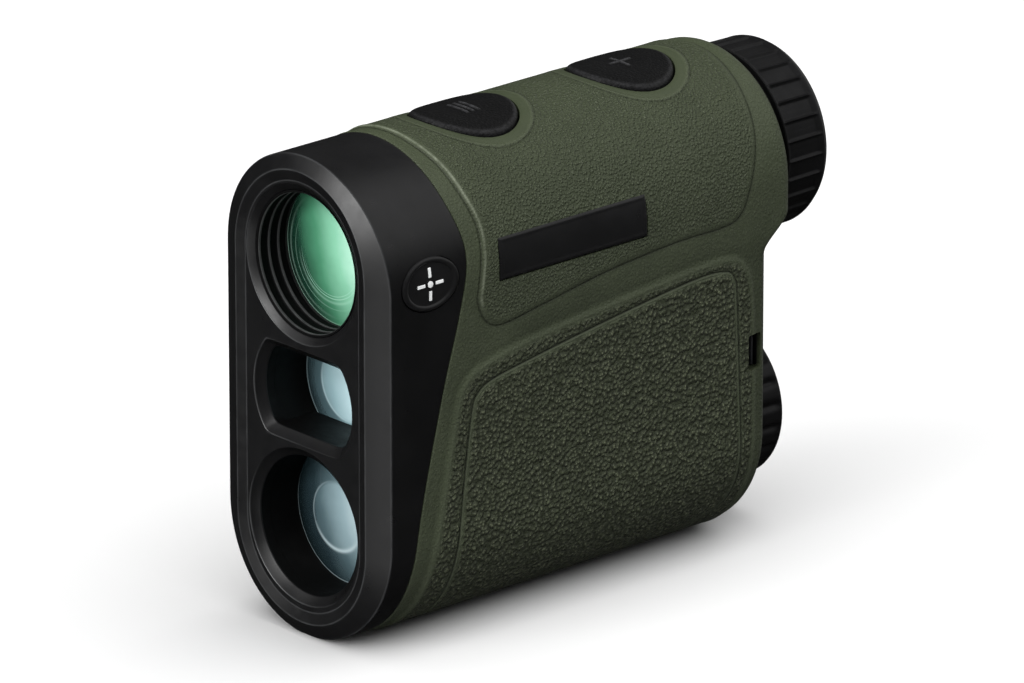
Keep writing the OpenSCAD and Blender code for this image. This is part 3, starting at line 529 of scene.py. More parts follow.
def armour_material():
    """Olive rubber: fine grain above, pebbles below, and thin groove lines and ridges along the panels; painted
    shade in the pits, groove lines, waist and lanyard slot, painted highlights on the pebble tops, the ridges
    and the shoulder.
    """
    s = Shader("armour_rubber", Specular_IOR_Level=0.32)
    coarse, fine = s.attribute("coarse"), s.attribute("fine")
    big, small = s.pebbles(0.68, 0.4), s.pebbles(0.42, 0.45)
    tone = s.ramp(s.noise(9, 3), [(0.3, (0.029, 0.036, 0.0195)), (0.7, (0.035, 0.043, 0.0235))])
    tone = s.mix(s.mul(coarse, 0.4), tone, (0.044, 0.051, 0.027))
    # Pits painted darker as painted shade and crests painted lighter as painted highlights: the cells, where
    # they show, the cell heights meant, strength and colour
    for cells, where, stops, strength, colour in (
            (big, coarse, [(0.25, 1.0), (0.5, 0.0)], 0.6, (0.013, 0.016, 0.0085)),
            (big, coarse, [(0.66, 0.0), (0.82, 1.0)], 0.6, (0.13, 0.145, 0.086)),
            (small, fine, [(0.64, 0.0), (0.84, 1.0)], 0.55, (0.085, 0.098, 0.064)),
            (small, fine, [(0.2, 1.0), (0.45, 0.0)], 0.25, (0.018, 0.022, 0.012))):
        tone = s.mix(s.mul(s.mul(s.ramp(cells, stops), where), strength), tone, colour)
    panel, upper, ring = s.attribute("panel_d"), s.attribute("upper_d"), s.attribute("ring_d")
    # Painted shade in the thin grooves beside the panels and round the buttons, and painted highlights along
    # the ridges
    shaded_grooves = s.most(s.line(panel, -0.1, 0.14), s.mul(s.line(upper, -0.25, 0.16), 0.8))
    shaded_grooves = s.most(shaded_grooves, s.mul(s.line(ring, 0.0, 0.14), 0.55))
    ridges = s.most(s.line(panel, 0.25, 0.16), s.mul(s.line(s.attribute("frame_d"), 0.5, 0.35), 0.6))
    ridges = s.most(ridges, s.mul(s.line(ring, -0.45, 0.22), 0.9))
    tone = s.mix(s.mul(shaded_grooves, 0.8), tone, (0.008, 0.01, 0.005))
    tone = s.mix(s.mul(ridges, 0.35), tone, (0.06, 0.07, 0.044))
    # Painted highlight: a light streak along the upper panel's front ridge at the shoulder
    highlight_streak = s.mul(s.line(upper, 0.35, 0.2), s.attribute("shoulder_highlight_mask"))
    highlight_streak = s.mul(highlight_streak, s.ramp(s.noise(1.5, 4), [(0.35, 0.35), (0.65, 1.0)]))
    tone = s.mix(highlight_streak, tone, (0.13, 0.145, 0.105))
    # Painted shade darkens the waist between the panels
    tone = s.mix(s.mul(s.attribute("waist_shade"), 0.35), tone, (0.012, 0.015, 0.008))
    # Painted shade: the inside of the lanyard slot is made nearly black
    s.colour(s.mix(s.attribute("slot"), tone, (0.0015, 0.0015, 0.0015)))
    s.roughness(s.noise(1.2, 4), 0.44, 0.6)
    s.relief(s.noise(0.3, 3), 0.012)
    s.relief(s.mul(small, fine), 0.28)
    s.relief(s.mul(big, coarse), 0.85)
    s.relief(s.sub(s.mul(ridges, 0.5), shaded_grooves), 0.16)
    return s.mat


def lens_material(name, centre_z, radius, painted_emission_level, stops, disc, arcs):
    """Coated glass with painted light: a painted reflection that grows across it, a brighter disc for the pupil
    behind it, and arcs of painted reflection where inner edges show; the same colour is also given off as
    emission, so the lens glows.

    stops run across the lens from its dark side; disc is (radius, gain); arcs are (radius, width, strength,
    x, z), where (x, z) is the direction in which the arc is brightest."""
    # Emission makes the lens give off its painted light, though it is no lamp
    s = Shader(name, Specular_IOR_Level=0.5, Roughness=0.1, Coat_Weight=0.4, Coat_Roughness=0.03,
               Emission_Strength=painted_emission_level)
    x, _, z = s.millimetres()
    x, z = s.div(x, radius), s.div(s.sub(z, centre_z), radius)
    r = s.length(x, z)
    # The painted light: a gradient across the lens with a little noise, a brighter disc, and arcs of painted
    # reflection
    painted_light_noise = s.mul(s.sub(s.noise(4, 2), 0.5), 0.08)
    across = s.add(s.mul(x, 0.46), s.add(s.mul(z, 0.14), 0.5))
    across = s.add(across, painted_light_noise)
    if disc:
        within = s.ramp(s.sub(r, disc[0] - 0.5), [(0.47, 1.0), (0.53, 0.0)])
        across = s.add(across, s.mul(within, disc[1]))
    painted_lens_light = s.ramp(across, stops)
    for at, width, strength, to_x, to_z in arcs:
        line = s.line(r, at, width)
        side = s.add(s.mul(x, to_x), s.mul(z, to_z))
        fade = s.ramp(s.div(side, at), [(0.25, 0.0), (0.95, 1.0)])
        painted_lens_light = s.mix(s.mul(s.mul(line, fade), strength), painted_lens_light, stops[-1][1])
    s.colour(painted_lens_light)
    s.link(painted_lens_light, s.bsdf.inputs["Emission Color"])
    return s.mat


def key_material():
    """Black rubber with a pebbled skin whose tops are painted lighter as painted highlights, rubbed lighter on
    the raised pictogram, and with a painted highlight round the edge.
    """
    s = Shader("key_rubber", Specular_IOR_Level=0.16)
    grain = s.pebbles(0.35, 0.4)
    tone = s.ramp(s.noise(6, 4), [(0.3, (0.0026, 0.0026, 0.0027)), (0.7, (0.0034, 0.0034, 0.0035))])
    # Painted highlights on the pebble tops
    tone = s.mix(s.mul(s.ramp(grain, [(0.72, 0.0), (0.9, 1.0)]), 0.3), tone, (0.014, 0.014, 0.0145))
    # The pictogram is rubbed lighter; the ring round the edge is a painted highlight
    rubbed_mark_and_rim_highlight = s.mul(s.attribute("rubbed_mark_and_rim_highlight"), s.ramp(s.noise(0.5, 3), [(0.35, 0.3), (0.65, 1.0)]))
    s.colour(s.mix(rubbed_mark_and_rim_highlight, tone, (0.036, 0.036, 0.038)))
    s.roughness(s.noise(2.2, 5), 0.43, 0.56)
    s.relief(grain, 0.06)
    return s.mat


def sleeve_material():
    """Anodised black whose ridge crests, nearest to the axis, are painted lighter as painted highlights."""
    s = Shader("sleeve_black", Specular_IOR_Level=0.12)
    x, _, z = s.millimetres()
    low = s.div(s.sub(s.length(x, s.sub(z, VIEW_Z)), 10.7), 0.3)
    # Painted highlights on the ridge crests nearest the axis
    crest_highlight = s.mul(s.ramp(low, [(0.2, 1.0), (0.5, 0.0)]), s.ramp(s.noise(2, 4), [(0.3, 0.6), (0.7, 1.0)]))
    s.colour(s.mix(crest_highlight, (0.0012, 0.0012, 0.0013), (0.05, 0.052, 0.052)))
    s.roughness(s.noise(1.5, 4), 0.5, 0.7)
    s.relief(s.noise(0.3, 3), 0.004)
    return s.mat


# Each lens's painted light, lit disc and painted reflection arcs, as lens_material() takes them
VIEW_PAINTED_LIGHT = [(0.04, (0.002, 0.01, 0.006)), (0.2, (0.007, 0.03, 0.018)), (0.4, (0.045, 0.17, 0.095)),
              (0.6, (0.17, 0.4, 0.27)), (0.8, (0.42, 0.66, 0.54))]
VIEW_REFLECTION_ARCS = [(0.985, 0.008, 0.5, -0.8, -0.6), (0.89, 0.02, 0.16, -0.9, -0.4), (0.76, 0.008, 0.22, -0.7, -0.7),
             (0.66, 0.02, 0.2, -0.2, -1.0), (0.6, 0.006, 0.5, -0.3, -0.95), (0.56, 0.005, 0.35, -0.1, -1.0)]
EMIT_PAINTED_LIGHT = [(0.02, (0.006, 0.011, 0.013)), (0.3, (0.05, 0.085, 0.095)), (0.5, (0.17, 0.26, 0.28)),
              (0.8, (0.42, 0.56, 0.59))]
EMIT_LIT_DISC, EMIT_REFLECTION_ARCS = (0.58, 0.17), [(0.585, 0.02, 0.35, -0.8, -0.6), (1.0, 0.02, 0.3, -0.9, -0.4)]
RECV_PAINTED_LIGHT = [(0.02, (0.003, 0.006, 0.007)), (0.3, (0.012, 0.022, 0.026)), (0.5, (0.05, 0.08, 0.09)),
              (0.72, (0.17, 0.24, 0.26)), (0.9, (0.34, 0.42, 0.44))]
RECV_LIT_DISC = (0.49, 0.13)
RECV_REFLECTION_ARCS = [(0.49, 0.03, 0.8, 0.1, -1.0), (0.5, 0.014, 0.35, -0.9, 0.1), (1.0, 0.01, 0.6, -0.6, -0.8)]

MATS = {
    "bezel": bezel_material(),
    "armour": armour_material(),
    "grip": plain("grip_rubber", (0.0036, 0.0036, 0.0038), 0.5, grain_mm=0.4, depth_mm=0.015,
                  Specular_IOR_Level=0.3),
    "key": key_material(),
    "chassis": plain("chassis_plastic", (0.03, 0.031, 0.033), 0.5),
    "inner": plain("inner_black", (0.002, 0.002, 0.002), 0.5, grain_mm=0.3, depth_mm=0.006,
                   Specular_IOR_Level=0.12),
    "sleeve_black": sleeve_material(),
    "plate": plain("plate_black", (0.006, 0.006, 0.0063), 0.34, grain_mm=0.2, depth_mm=0.003,
                   Specular_IOR_Level=0.4),
    "mark": plain("mark_grey", (0.62, 0.63, 0.63), 0.4, grain_mm=0.3, depth_mm=0.004),
    # The lenses' painted light is also emitted
    "objective": lens_material("coated_glass", VIEW_Z, 11, 0.15, VIEW_PAINTED_LIGHT, None, VIEW_REFLECTION_ARCS),
    "emitter": lens_material("emitter_glass", EMIT_Z, 10, 0.42, EMIT_PAINTED_LIGHT, EMIT_LIT_DISC, EMIT_REFLECTION_ARCS),
    "receiver": lens_material("receiver_glass", RECV_Z, 10.8, 0.2, RECV_PAINTED_LIGHT, RECV_LIT_DISC, RECV_REFLECTION_ARCS),
    "clear": plain("clear_glass", (0.75, 0.85, 0.9), 0.06, depth_mm=0.0005, vary=0.04, Transmission_Weight=0.9),
    "filter": plain("filter_glass", (0.12, 0.01, 0.02), 0.1, depth_mm=0.0005),
    "steel": brushed("steel", (0.56, 0.57, 0.59), 0.3, (1, 1, 12)),
    "brass": brushed("contact_brass", (0.7, 0.5, 0.22), 0.3, (1, 1, 12)),
    "gold": brushed("diode_can", (0.78, 0.58, 0.26), 0.25, (1, 1, 12)),
    "alloy": brushed("holder_alloy", (0.5, 0.51, 0.53), 0.38, (8, 1, 1)),
    "board": plain("circuit_board", (0.01, 0.09, 0.03), 0.35, grain_mm=0.5, vary=0.3),
    "chip": plain("chip_plastic", (0.016, 0.016, 0.018), 0.5),
    "flex": plain("flex_film", (0.4, 0.16, 0.03), 0.3, vary=0.25),
    "wire": plain("wire_red", (0.35, 0.02, 0.015), 0.4),
    "sleeve": plain("battery_sleeve", (0.07, 0.12, 0.24), 0.32, vary=0.25),
    "seal": plain("seal_rubber", (0.007, 0.007, 0.007), 0.55),
}


def dress(ob, key):
    ob.data.materials.clear()
    ob.data.materials.append(MATS[key])


def place(ob, key, slot, body, *nodes):
    """Gives a piece its material and body, and hides the nodes that it stands for; slot is not used."""
    dress(ob, key)
    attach(ob, body)
    if nodes:
        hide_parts(*nodes)
    return ob


# ---------- armour ----------

def armour_relief(y, z, x):
    """Height above the smooth bands, from the panels, their edges and the button surrounds."""
    upper = inside_by(y, z, UPPER)
    frame_in = inside_by(y, z, FRAME_OUT)
    panel = inside_by(y, z, PANEL_IN)
    front_edge = ease((24 - y) / 3) * ease((z - 52) / 4)
    h = 0.3 * ease((upper + 0.3) / 0.9)
    h += bump(upper - 0.6, 0.5) * (0.05 + 0.2 * front_edge)
    h -= 0.1 * bump(upper + 0.4, 0.5) * (1 - front_edge)
    h += 0.26 * ease((frame_in + 0.3) / 0.9) + 0.1 * bump(frame_in - 0.6, 0.5)
    h -= 0.06 * bump(frame_in + 0.5, 0.5)
    h -= 0.09 * bump(panel + 0.15, 0.4)
    h += 0.06 * ease((panel + 0.2) / 0.8)
    crown = ease((z - CROWN_Z) / 3)
    for by in BUTTONS_Y:
        d = np.hypot(x, y - by)
        behind = 0.45 + 0.55 * ease((y - by + 4) / 8)
        h += crown * behind * 0.12 * bump(d - 10.3, 0.6)
        h -= crown * 0.3 * ease((BUTTON_R + BUTTON_GAP + 0.7 - d) / 0.7)
    return np.where(h > 0, RELIEF_MAX * np.tanh(h / RELIEF_MAX), h)


def build_armour():
    cz, nx, nz = loop(74, 104, LOW_Z, TOP_Z)
    n = len(cz)

    def row(r, y):
        return np.stack([nx * r, np.broadcast_to(y, n), np.maximum(cz + nz * r, 0)], -1)

    z_out = cz + nz * BAND_R
    front = seam_y(z_out) + SEAM_GAP
    rear = rear_y(z_out)
    rows = [row(SKIN_R, front), row(BAND_R - FRONT_ROUND, front)]
    for f in np.linspace(0, 1, 5):
        a = f * np.pi / 2
        y = front + FRONT_ROUND * (1 - np.cos(a))
        rows.append(row(BAND_R - FRONT_ROUND + FRONT_ROUND * np.sin(a), y))
    start, stop = front + FRONT_ROUND, rear - REAR_ROUND
    for f in np.linspace(0, 1, 186)[1:-1]:
        y = start + f * (stop - start)
        fade = ease((y - front - FRONT_ROUND) / 1.2) * ease((stop - y) / 0.6)
        h = armour_relief(y, z_out, nx * BAND_R) * fade
        rows.append(row(BAND_R + h, y))
    inner = BAND_R - REAR_ROUND
    for f in np.linspace(0, 1, 9):
        a = f * np.pi / 2
        rows.append(row(inner + REAR_ROUND * np.cos(a), stop + REAR_ROUND * np.sin(a)))

    # The rear face runs in to the eyepiece hole, the cap hole, or the middle line between them
    above = cz > BETWEEN_Z
    hole_r, wall_y = (np.where(above, at_eye, at_cap) for at_eye, at_cap in zip(EYE_HOLE, CAP_HOLE))
    hole_z = np.where(above, VIEW_Z, CAP_Z)
    flat = np.abs(nz) < 1e-9
    reach = hole_r ** 2 - (cz - hole_z) ** 2
    d = cz - hole_z
    along = np.where(flat, np.sqrt(np.maximum(reach, 0)),
                     -d * nz + np.sqrt(np.maximum(hole_r ** 2 - d ** 2 * nx ** 2, 0)))
    medial = flat & (reach <= 0)
    along = np.where(medial, 0, along)
    for f in np.linspace(0, 1, 9)[1:-1]:
        r = inner + f * (along + HOLE_LIP - inner)
        rows.append(row(r, rear_y(cz + nz * r)))
    for f in np.linspace(0, 1, 5)[:-1]:
        a = f * np.pi / 2
        r = np.where(medial, HOLE_LIP * (1 - f), along + HOLE_LIP * (1 - np.sin(a)))
        y = rear_y(cz + nz * r) - np.where(medial, 0, HOLE_LIP * (1 - np.cos(a)))
        rows.append(row(r, y))
    rows.append(row(along, np.where(medial, rear_y(cz), rear_y(cz + nz * along) - HOLE_LIP)))
    outer_end = len(rows) - 1
    rear_wall = 3
    inner_wall = np.where(medial, rear_y(cz) - rear_wall, wall_y)
    rows.append(row(along, inner_wall))
    for f in (0.33, 0.66, 1.0):
        r = along + f * (SKIN_R - along)
        rows.append(row(r, inner_wall))
    for f in np.linspace(0, 1, 8)[1:-1]:
        rows.append(row(SKIN_R, inner_wall + f * (front - inner_wall)))
    points = np.concatenate(rows)
    total = len(rows)

    # Both sides share their points on the middle line
    index = np.arange(total * n).reshape(total, n)
    for k in (outer_end, outer_end + 1):
        for c in range(n // 2 + 1, n):
            if medial[c]:
                index[k, c] = index[k, n - c]
    faces = []
    for k in range(total):
        a, b = index[k], index[(k + 1) % total]
        for c in range(n):
            e = (c + 1) % n
            if k == outer_end and medial[c] and medial[e]:
                continue
            q = [a[c], a[e], b[e], b[c]]
            q = [v for i, v in enumerate(q) if v != q[i - 1]]
            if len(q) >= 3:
                faces.append([int(v) for v in q])
    ob = add_mesh("armour", points, faces, 40)
    cutters = []
    a, r = circle(96), BUTTON_R + BUTTON_GAP
    for by in BUTTONS_Y:
        ring = [np.stack([r * np.cos(a), by + r * np.sin(a), np.full(96, h)], -1) for h in (60, 90)]
        cutters.append(add_tube("cutter", ring))
    gap = 0.2
    for side in (-1, 1):
        low, high = sorted((side * 18.05, side * 25))
        cutters.append(box_cutter((low, PLATE_Y[0] - gap, PLATE_Z[0] - gap),
                                  (high, PLATE_Y[1] + gap, PLATE_Z[1] + gap), 0.15))
    cutters += [box_cutter(low, high, 0.4) for low, high in SLOT_BOXES]
    cut(ob, cutters, 40)
    x, y, z = places(ob)
    upper = inside_by(y, z, UPPER)
    panel = inside_by(y, z, PANEL_IN)
    frame_in = inside_by(y, z, FRAME_OUT)
    clear = np.ones(len(x))
    ring_d = np.full(len(x), 3.0)
    for by in BUTTONS_Y:
        off = np.hypot(x, y - by) - 10.6
        clear *= np.where(z > CROWN_Z, ease((off + 1) / 1.4), 1)
        ring_d = np.where((z > CROWN_Z) & (np.abs(off) < np.abs(ring_d)), off, ring_d)
    paint(ob, "fine", (0.3 + 0.7 * ease((upper - 0.5) / 1.0)) * clear * (1 - ease((panel + 0.3) / 0.6)))
    border = ease((frame_in - 0.9) / 0.5) * ease(-(panel + 0.3) / 0.3)
    paint(ob, "coarse", np.maximum(ease((panel - 0.4) / 0.5), border))
    for name, distance in (("panel_d", panel), ("upper_d", upper), ("frame_d", frame_in)):
        paint(ob, name, np.clip(distance, -3, 3))
    paint(ob, "ring_d", ring_d)
    # Where the painted highlight streak runs, at the shoulder
    paint(ob, "shoulder_highlight_mask", ease((22 - y) / 3) * ease((z - 50) / 6))
    # Where the painted shade of the waist lies, between the panels
    outside = ease(0.5 - upper / 3) * ease(0.5 - frame_in / 3)
    paint(ob, "waist_shade", outside * ease((y - 22) / 8) * ease((52 - z) / 6))
    # The inside of the lanyard slot, painted nearly black as shade
    slot_shade_mask = (np.abs(y - 75.1) < 1.7) & (z > 28.6) & (z < 34.7) & (np.abs(x) < 18.2) & (x > 13)
    paint(ob, "slot", slot_shade_mask)
    return ob


place(build_armour(), "armour", "armour_rubber", "housing", "rubber_armour")


# ---------- front bezel ----------

def build_bezel():
    cz, nx, nz = loop(60, 60, RIM_LOW_Z, RIM_TOP_Z)
    n = len(cz)
    d = cz - np.clip(cz, LOW_Z, TOP_Z)

    def body(r):
        return -d * nz + np.sqrt(r ** 2 - d ** 2 * nx ** 2)

    def pair(r, y):
        return np.stack([np.broadcast_to(r, n), np.broadcast_to(y, n)], -1).astype(float)

    def points_of(rows):
        return [np.stack([nx * r, y, np.maximum(cz + nz * r, 0)], -1) for r, y in (q.T for q in rows)]

    outer = body(BEZEL_R)
    slope = (BEZEL_R - RIM_R) / RIM_BEVEL_Y
    bevel_end = (outer - RIM_R) / slope
    rear = seam_y(cz + nz * outer)
    rows = [pair(RECESS_R - 0.4, RECESS_Y)]
    rows += fillet(rows[0], pair(RECESS_R, RECESS_Y), pair(RIM_R, 0), 0.15, 4)
    rows += fillet(pair(RECESS_R, RECESS_Y), pair(RIM_R, 0), pair(outer, bevel_end), 0.16, 5)
    rows += fillet(pair(RIM_R, 0), pair(outer, bevel_end), pair(outer, rear), 0.22, 6)
    base = rows[-1]
    for f in np.linspace(0, 1, 16)[1:-1]:
        rows.append(base + f * (pair(outer, rear - 0.25) - base))
    rows += fillet(pair(outer, bevel_end), pair(outer, rear), pair(outer - 1, rear), 0.2, 4)
    rows.append(pair(body(SKIN_R), rear))
    rows.append(pair(body(SKIN_R), WALL_Y))
    ob = add_tube("bezel", points_of(rows), 30)

    def bore(z, wide, narrow, depth, half=None):
        """The cutter of an opening: a short cone with eased edges, then a straight bore."""
        ease_r = 0.12
        prof = rounded([(wide + ease_r, -2), (wide + ease_r, RECESS_Y), (wide, RECESS_Y),
                        (narrow, RECESS_Y + depth), (narrow, WALL_Y + 2)], [0, 0, 0, 0.3, 0])
        eased = [(wide + ease_r * (1 - f) ** 2, RECESS_Y + ease_r * f) for f in (0.5, 1.0)]
        prof = prof[:2] + eased + prof[3:]
        if half is None:
            return turned("cutter", prof, z, 160)
        drop = wide - half

        def flat_sides(a, r, y):
            level = (r - drop) / np.maximum(np.abs(np.sin(a)), 1e-6)
            return (r ** -22.0 + level ** -22.0) ** (-1 / 22)
        return turned("cutter", prof, z, 240, shape=flat_sides)

    cutters = [bore(VIEW_Z, *VIEW_BORE), bore(EMIT_Z, *EMIT_BORE, EMIT_HALF), bore(RECV_Z, *RECV_BORE)]
    a = circle(96)
    badge_pocket = ((17.6, 0.15), (18.05, 0.15), (18.2, 0.22), (18.3, 0.4), (19, 1.2))
    for side in (-1, 1):
        ring = [np.stack([np.full(96, side * x), BADGE_Y + (BADGE_HALF[0] + g) * np.cos(a),
                          BADGE_Z + (BADGE_HALF[1] + g) * np.sin(a)], -1) for x, g in badge_pocket]
        cutters.append(add_tube("cutter", ring))
    return cut(ob, cutters, 28)


bezel = place(build_bezel(), "bezel", "bezel_plastic", "housing", "front_bezel")

# The straight bores behind the bevels are matt black inside
BORES_Y, BORES_R = 2.05, 13
bezel.data.materials.append(MATS["inner"])
for face in bezel.data.polygons:
    px, py, pz = face.center / MM
    if py + FRONT > BORES_Y and math.hypot(px, pz - min(max(pz, LOW_Z), TOP_Z)) < BORES_R:
        face.material_index = 1


# ---------- plates, badges and buttons ----------

def flank_x(z, r):
    """Half width of the body at height z and radius r."""
    over = np.maximum(z - TOP_Z, 0) + np.minimum(z - LOW_Z, 0)
    return np.sqrt(r ** 2 - over ** 2)


def build_plate(name, side):
    """A curved plate with eased edges and a fine raised border."""
    ys = np.linspace(PLATE_Y[0], PLATE_Y[1], 150)
    zs = np.linspace(PLATE_Z[0], PLATE_Z[1], 48)
    y, z = np.meshgrid(ys, zs)
    rim = np.minimum(np.minimum(y - PLATE_Y[0], PLATE_Y[1] - y), np.minimum(z - PLATE_Z[0], PLATE_Z[1] - z))
    height = -0.16 * (1 - ease(rim / 0.3)) - 0.05 * ease((rim - 0.5) / 0.25)
    x = side * (flank_x(z, PANEL_R + 0.1) + height)
    top = np.stack([x, y, z], -1).reshape(-1, 3)
    under = np.stack([side * flank_x(z, 17.95), y, z], -1).reshape(-1, 3)
    rows, columns = y.shape
    faces = grid_faces(rows, columns, wrap=False)
    count = rows * columns
    faces += [[v + count for v in f[::-1]] for f in faces]
    edge = (list(range(columns)) + [r * columns + columns - 1 for r in range(1, rows)]
            + [(rows - 1) * columns + c for c in range(columns - 2, -1, -1)]
            + [r * columns for r in range(rows - 2, 0, -1)])
    faces += [[a, b, b + count, a + count] for a, b in zip(edge, edge[1:] + edge[:1])]
    return add_mesh(name, np.concatenate([top, under]), faces, 40)


def build_badge(name, side):
    """An oval button badge: a rounded raised ring round a sunk floor."""
    prof = [(0.55, 0.0), (0.78, 0.0), (0.8, 0.02), (0.83, 0.2), (0.87, 0.28), (0.92, 0.3), (0.97, 0.26),
            (1.0, 0.12), (1.0, -0.5)]
    n = 120
    a = circle(n)
    rings = []
    for f, h in prof:
        y, z = BADGE_Y + BADGE_HALF[0] * f * np.cos(a), BADGE_Z + BADGE_HALF[1] * f * np.sin(a)
        rings.append(np.stack([side * (flank_x(z, BEZEL_R) + h), y, z], -1))
    points = np.concatenate(rings + [np.array([[side * BEZEL_R, BADGE_Y, BADGE_Z]])])
    faces = grid_faces(len(rings), n)
    faces += [[j, (j + 1) % n, len(points) - 1] for j in range(n)] + end_caps(len(rings), n)[1:]
    return add_mesh(name, points, faces, 40)


def build_mark(name, side):
    """A plain sighting mark, raised a little above the badge floor: four short ticks round a dot."""
    def pad(outline):
        """A raised pad with eased edges from an outline of (y, z) points about the badge's middle."""
        middle = outline.mean(0)
        rings = []
        for grow, h in ((1.0, -0.1), (1.0, 0.1), (0.86, 0.14)):
            q = middle + (outline - middle) * grow
            y, z = BADGE_Y + q[:, 0], BADGE_Z + q[:, 1]
            rings.append(np.stack([side * (flank_x(z, BEZEL_R) + h), y, z], -1))
        m = len(outline)
        return np.concatenate(rings), grid_faces(3, m) + end_caps(3, m)

    a = circle(48)
    outlines = [0.5 * np.stack([np.cos(a), np.sin(a)], 1)]
    reach = np.linspace(1.05, 2.5, 12)
    half = np.full(12, 0.24)
    tick = np.concatenate([np.stack([reach, -half], 1), np.stack([reach[::-1], half], 1)])
    for turn in range(4):
        c, t = math.cos(turn * math.pi / 2), math.sin(turn * math.pi / 2)
        outlines.append(tick @ np.array([[c, t], [-t, c]]))
    parts, faces, base = [], [], 0
    for outline in outlines:
        points, own = pad(outline)
        parts.append(points)
        faces += [[v + base for v in f] for f in own]
        base += len(points)
    return add_mesh(name, np.concatenate(parts), faces, 40)


def build_button(name, by, mark):
    """A round key whose top follows the crown, with a soft edge, a slight dish and a raised pictogram."""
    n, edge = 96, 0.9
    a = circle(n)
    flat = np.linspace(0, BUTTON_R - edge, 44)[1:]
    quarter = np.linspace(0, np.pi / 2, 10)[1:]
    radii = np.concatenate([[1e-3], flat, BUTTON_R - edge + edge * np.sin(quarter)])
    drop = np.concatenate([[0], np.zeros(len(flat)), edge * (1 - np.cos(quarter))])
    rows = []
    for r, dz in zip(radii, drop):
        x, y = r * np.cos(a), by + r * np.sin(a)
        z = TOP_Z + np.sqrt(BUTTON_TOP_R ** 2 - x ** 2) - dz * 0.75 - 0.18 * ease(1 - r / 6.5)
        rows.append(np.stack([x, y, z + mark(x, y - by)], -1))
    below = ((BUTTON_R, None), (FLANGE_R, None), (FLANGE_R, FLANGE_Z), (STEM_R, FLANGE_Z), (STEM_R, STEM_Z))
    for r, z in below:
        x, y = r * np.cos(a), by + r * np.sin(a)
        crown = TOP_Z + np.sqrt(FLANGE_TOP_R ** 2 - x ** 2)
        rows.append(np.stack([x, y, crown if z is None else np.full(n, z)], -1))
    ob = add_tube(name, rows, 50)
    x, y, z = places(ob)
    # A painted highlight round the key's rounded edge, kept in one mask with the rubbed pictogram
    rim = 0.35 * bump(np.hypot(x, y - by) - 7.75, 0.3)
    paint(ob, "rubbed_mark_and_rim_highlight", np.where(z > 70, np.maximum(mark(x, y - by) / MARK_H, rim), 0))
    return ob


def bars_mark(x, y):
    """Three short bars."""
    h = np.zeros_like(x)
    for k in (-1, 0, 1):
        h = np.maximum(h, ease((0.32 - np.abs(y - 1.1 * k)) / 0.2) * ease((2.4 - np.abs(x)) / 0.3))
    return MARK_H * h


def cross_mark(x, y):
    """A plain cross."""
    def bar(across, along):
        return ease((0.32 - np.abs(across)) / 0.2) * ease((2.3 - np.abs(along)) / 0.3)
    return MARK_H * np.maximum(bar(x, y), bar(y, x))


for side, where in ((1, "right"), (-1, "left")):
    place(build_plate(f"nameplate_{where}", side), "plate", "plate_black", "housing", f"{where}_nameplate")
    place(build_badge(f"badge_{where}", side), "plate", "plate_black", "housing", f"{where}_badge")
    place(build_mark(f"badge_mark_{where}", side), "mark", "plate_black", "housing")
place(build_button("button_front", BUTTONS_Y[0], bars_mark), "key", "key_rubber", "front_key", "front_button")
place(build_button("button_rear", BUTTONS_Y[1], cross_mark), "key", "key_rubber", "rear_key", "rear_button")


# ---------- eyepiece and battery cap ----------

def build_eyecup():
    """The ribbed rubber sleeve: wide flats between thin ridges, a neck in front and a rolled rim."""
    ribs = 30

    def ribbed(a, r, y):
        u = (a * ribs / (2 * np.pi)) % 1
        ridge = np.exp(-(np.minimum(u, 1 - u) / 0.07) ** 2)
        hollow = 0.28 * np.abs(np.cos(np.pi * u)) ** 0.6
        band = ease((y - 85.3) / 0.7) * ease((92.6 - y) / 0.7) * (r > 13)
        return r - band * (0.42 - 0.42 * ridge - 0.1 * hollow)
    corners = [(13.45, 83.7), (13.9, 83.7), (13.9, 85.2), (14.9, 85.2), (14.75, 92.9), (14.1, 94), (11.3, 94),
               (11.3, 92.7), (13.45, 92.7)]
    prof = rounded(corners, [0, 0.12, 0.1, 0.3, 0.5, 0.6, 0.5, 0.2, 0])
    prof = densify(prof, 0.35, closed=True)
    return turned("eyecup", prof, VIEW_Z, 720, shape=ribbed, ring=True, sharp_deg=50)


def build_cap():
    """The battery cap: a fluted knob, its dished end with a coin slot, and its skirt."""
    flutes = 22

    def fluted(a, r, y):
        u = (a * flutes / (2 * np.pi)) % 1
        groove = np.exp(-((u - 0.5) / 0.17) ** 2)
        band = ease((y - 77.6) / 0.8) * ease((86.6 - y) / 1.0) * (r > 12)
        return r - band * 0.55 * groove
    corners = [(0.01, 84), (9.3, 84), (9.3, 74.4), (10.45, 74.4), (10.45, 77.3), (12.6, 77.3), (12.6, 87),
               (9.6, 87), (9.3, 86.1), (0.01, 86.1)]
    prof = rounded(corners, [0, 0.3, 0.1, 0.25, 0.1, 0.3, 0.8, 0.25, 0.25, 0])
    ob = turned("cap", densify(prof, 0.5), CAP_Z, 396, shape=fluted, sharp_deg=45)
    slot = box_cutter((-7.5, 85.2, CAP_Z - 1), (7.5, 90, CAP_Z + 1), 0.25)
    return cut(ob, [slot], 45)


place(build_eyecup(), "grip", "grip_rubber", "focus_grip", "eyecup_grip")
place(build_cap(), "grip", "grip_rubber", "cap", "battery_cap")


# ---------- carried-over CAD nodes ----------

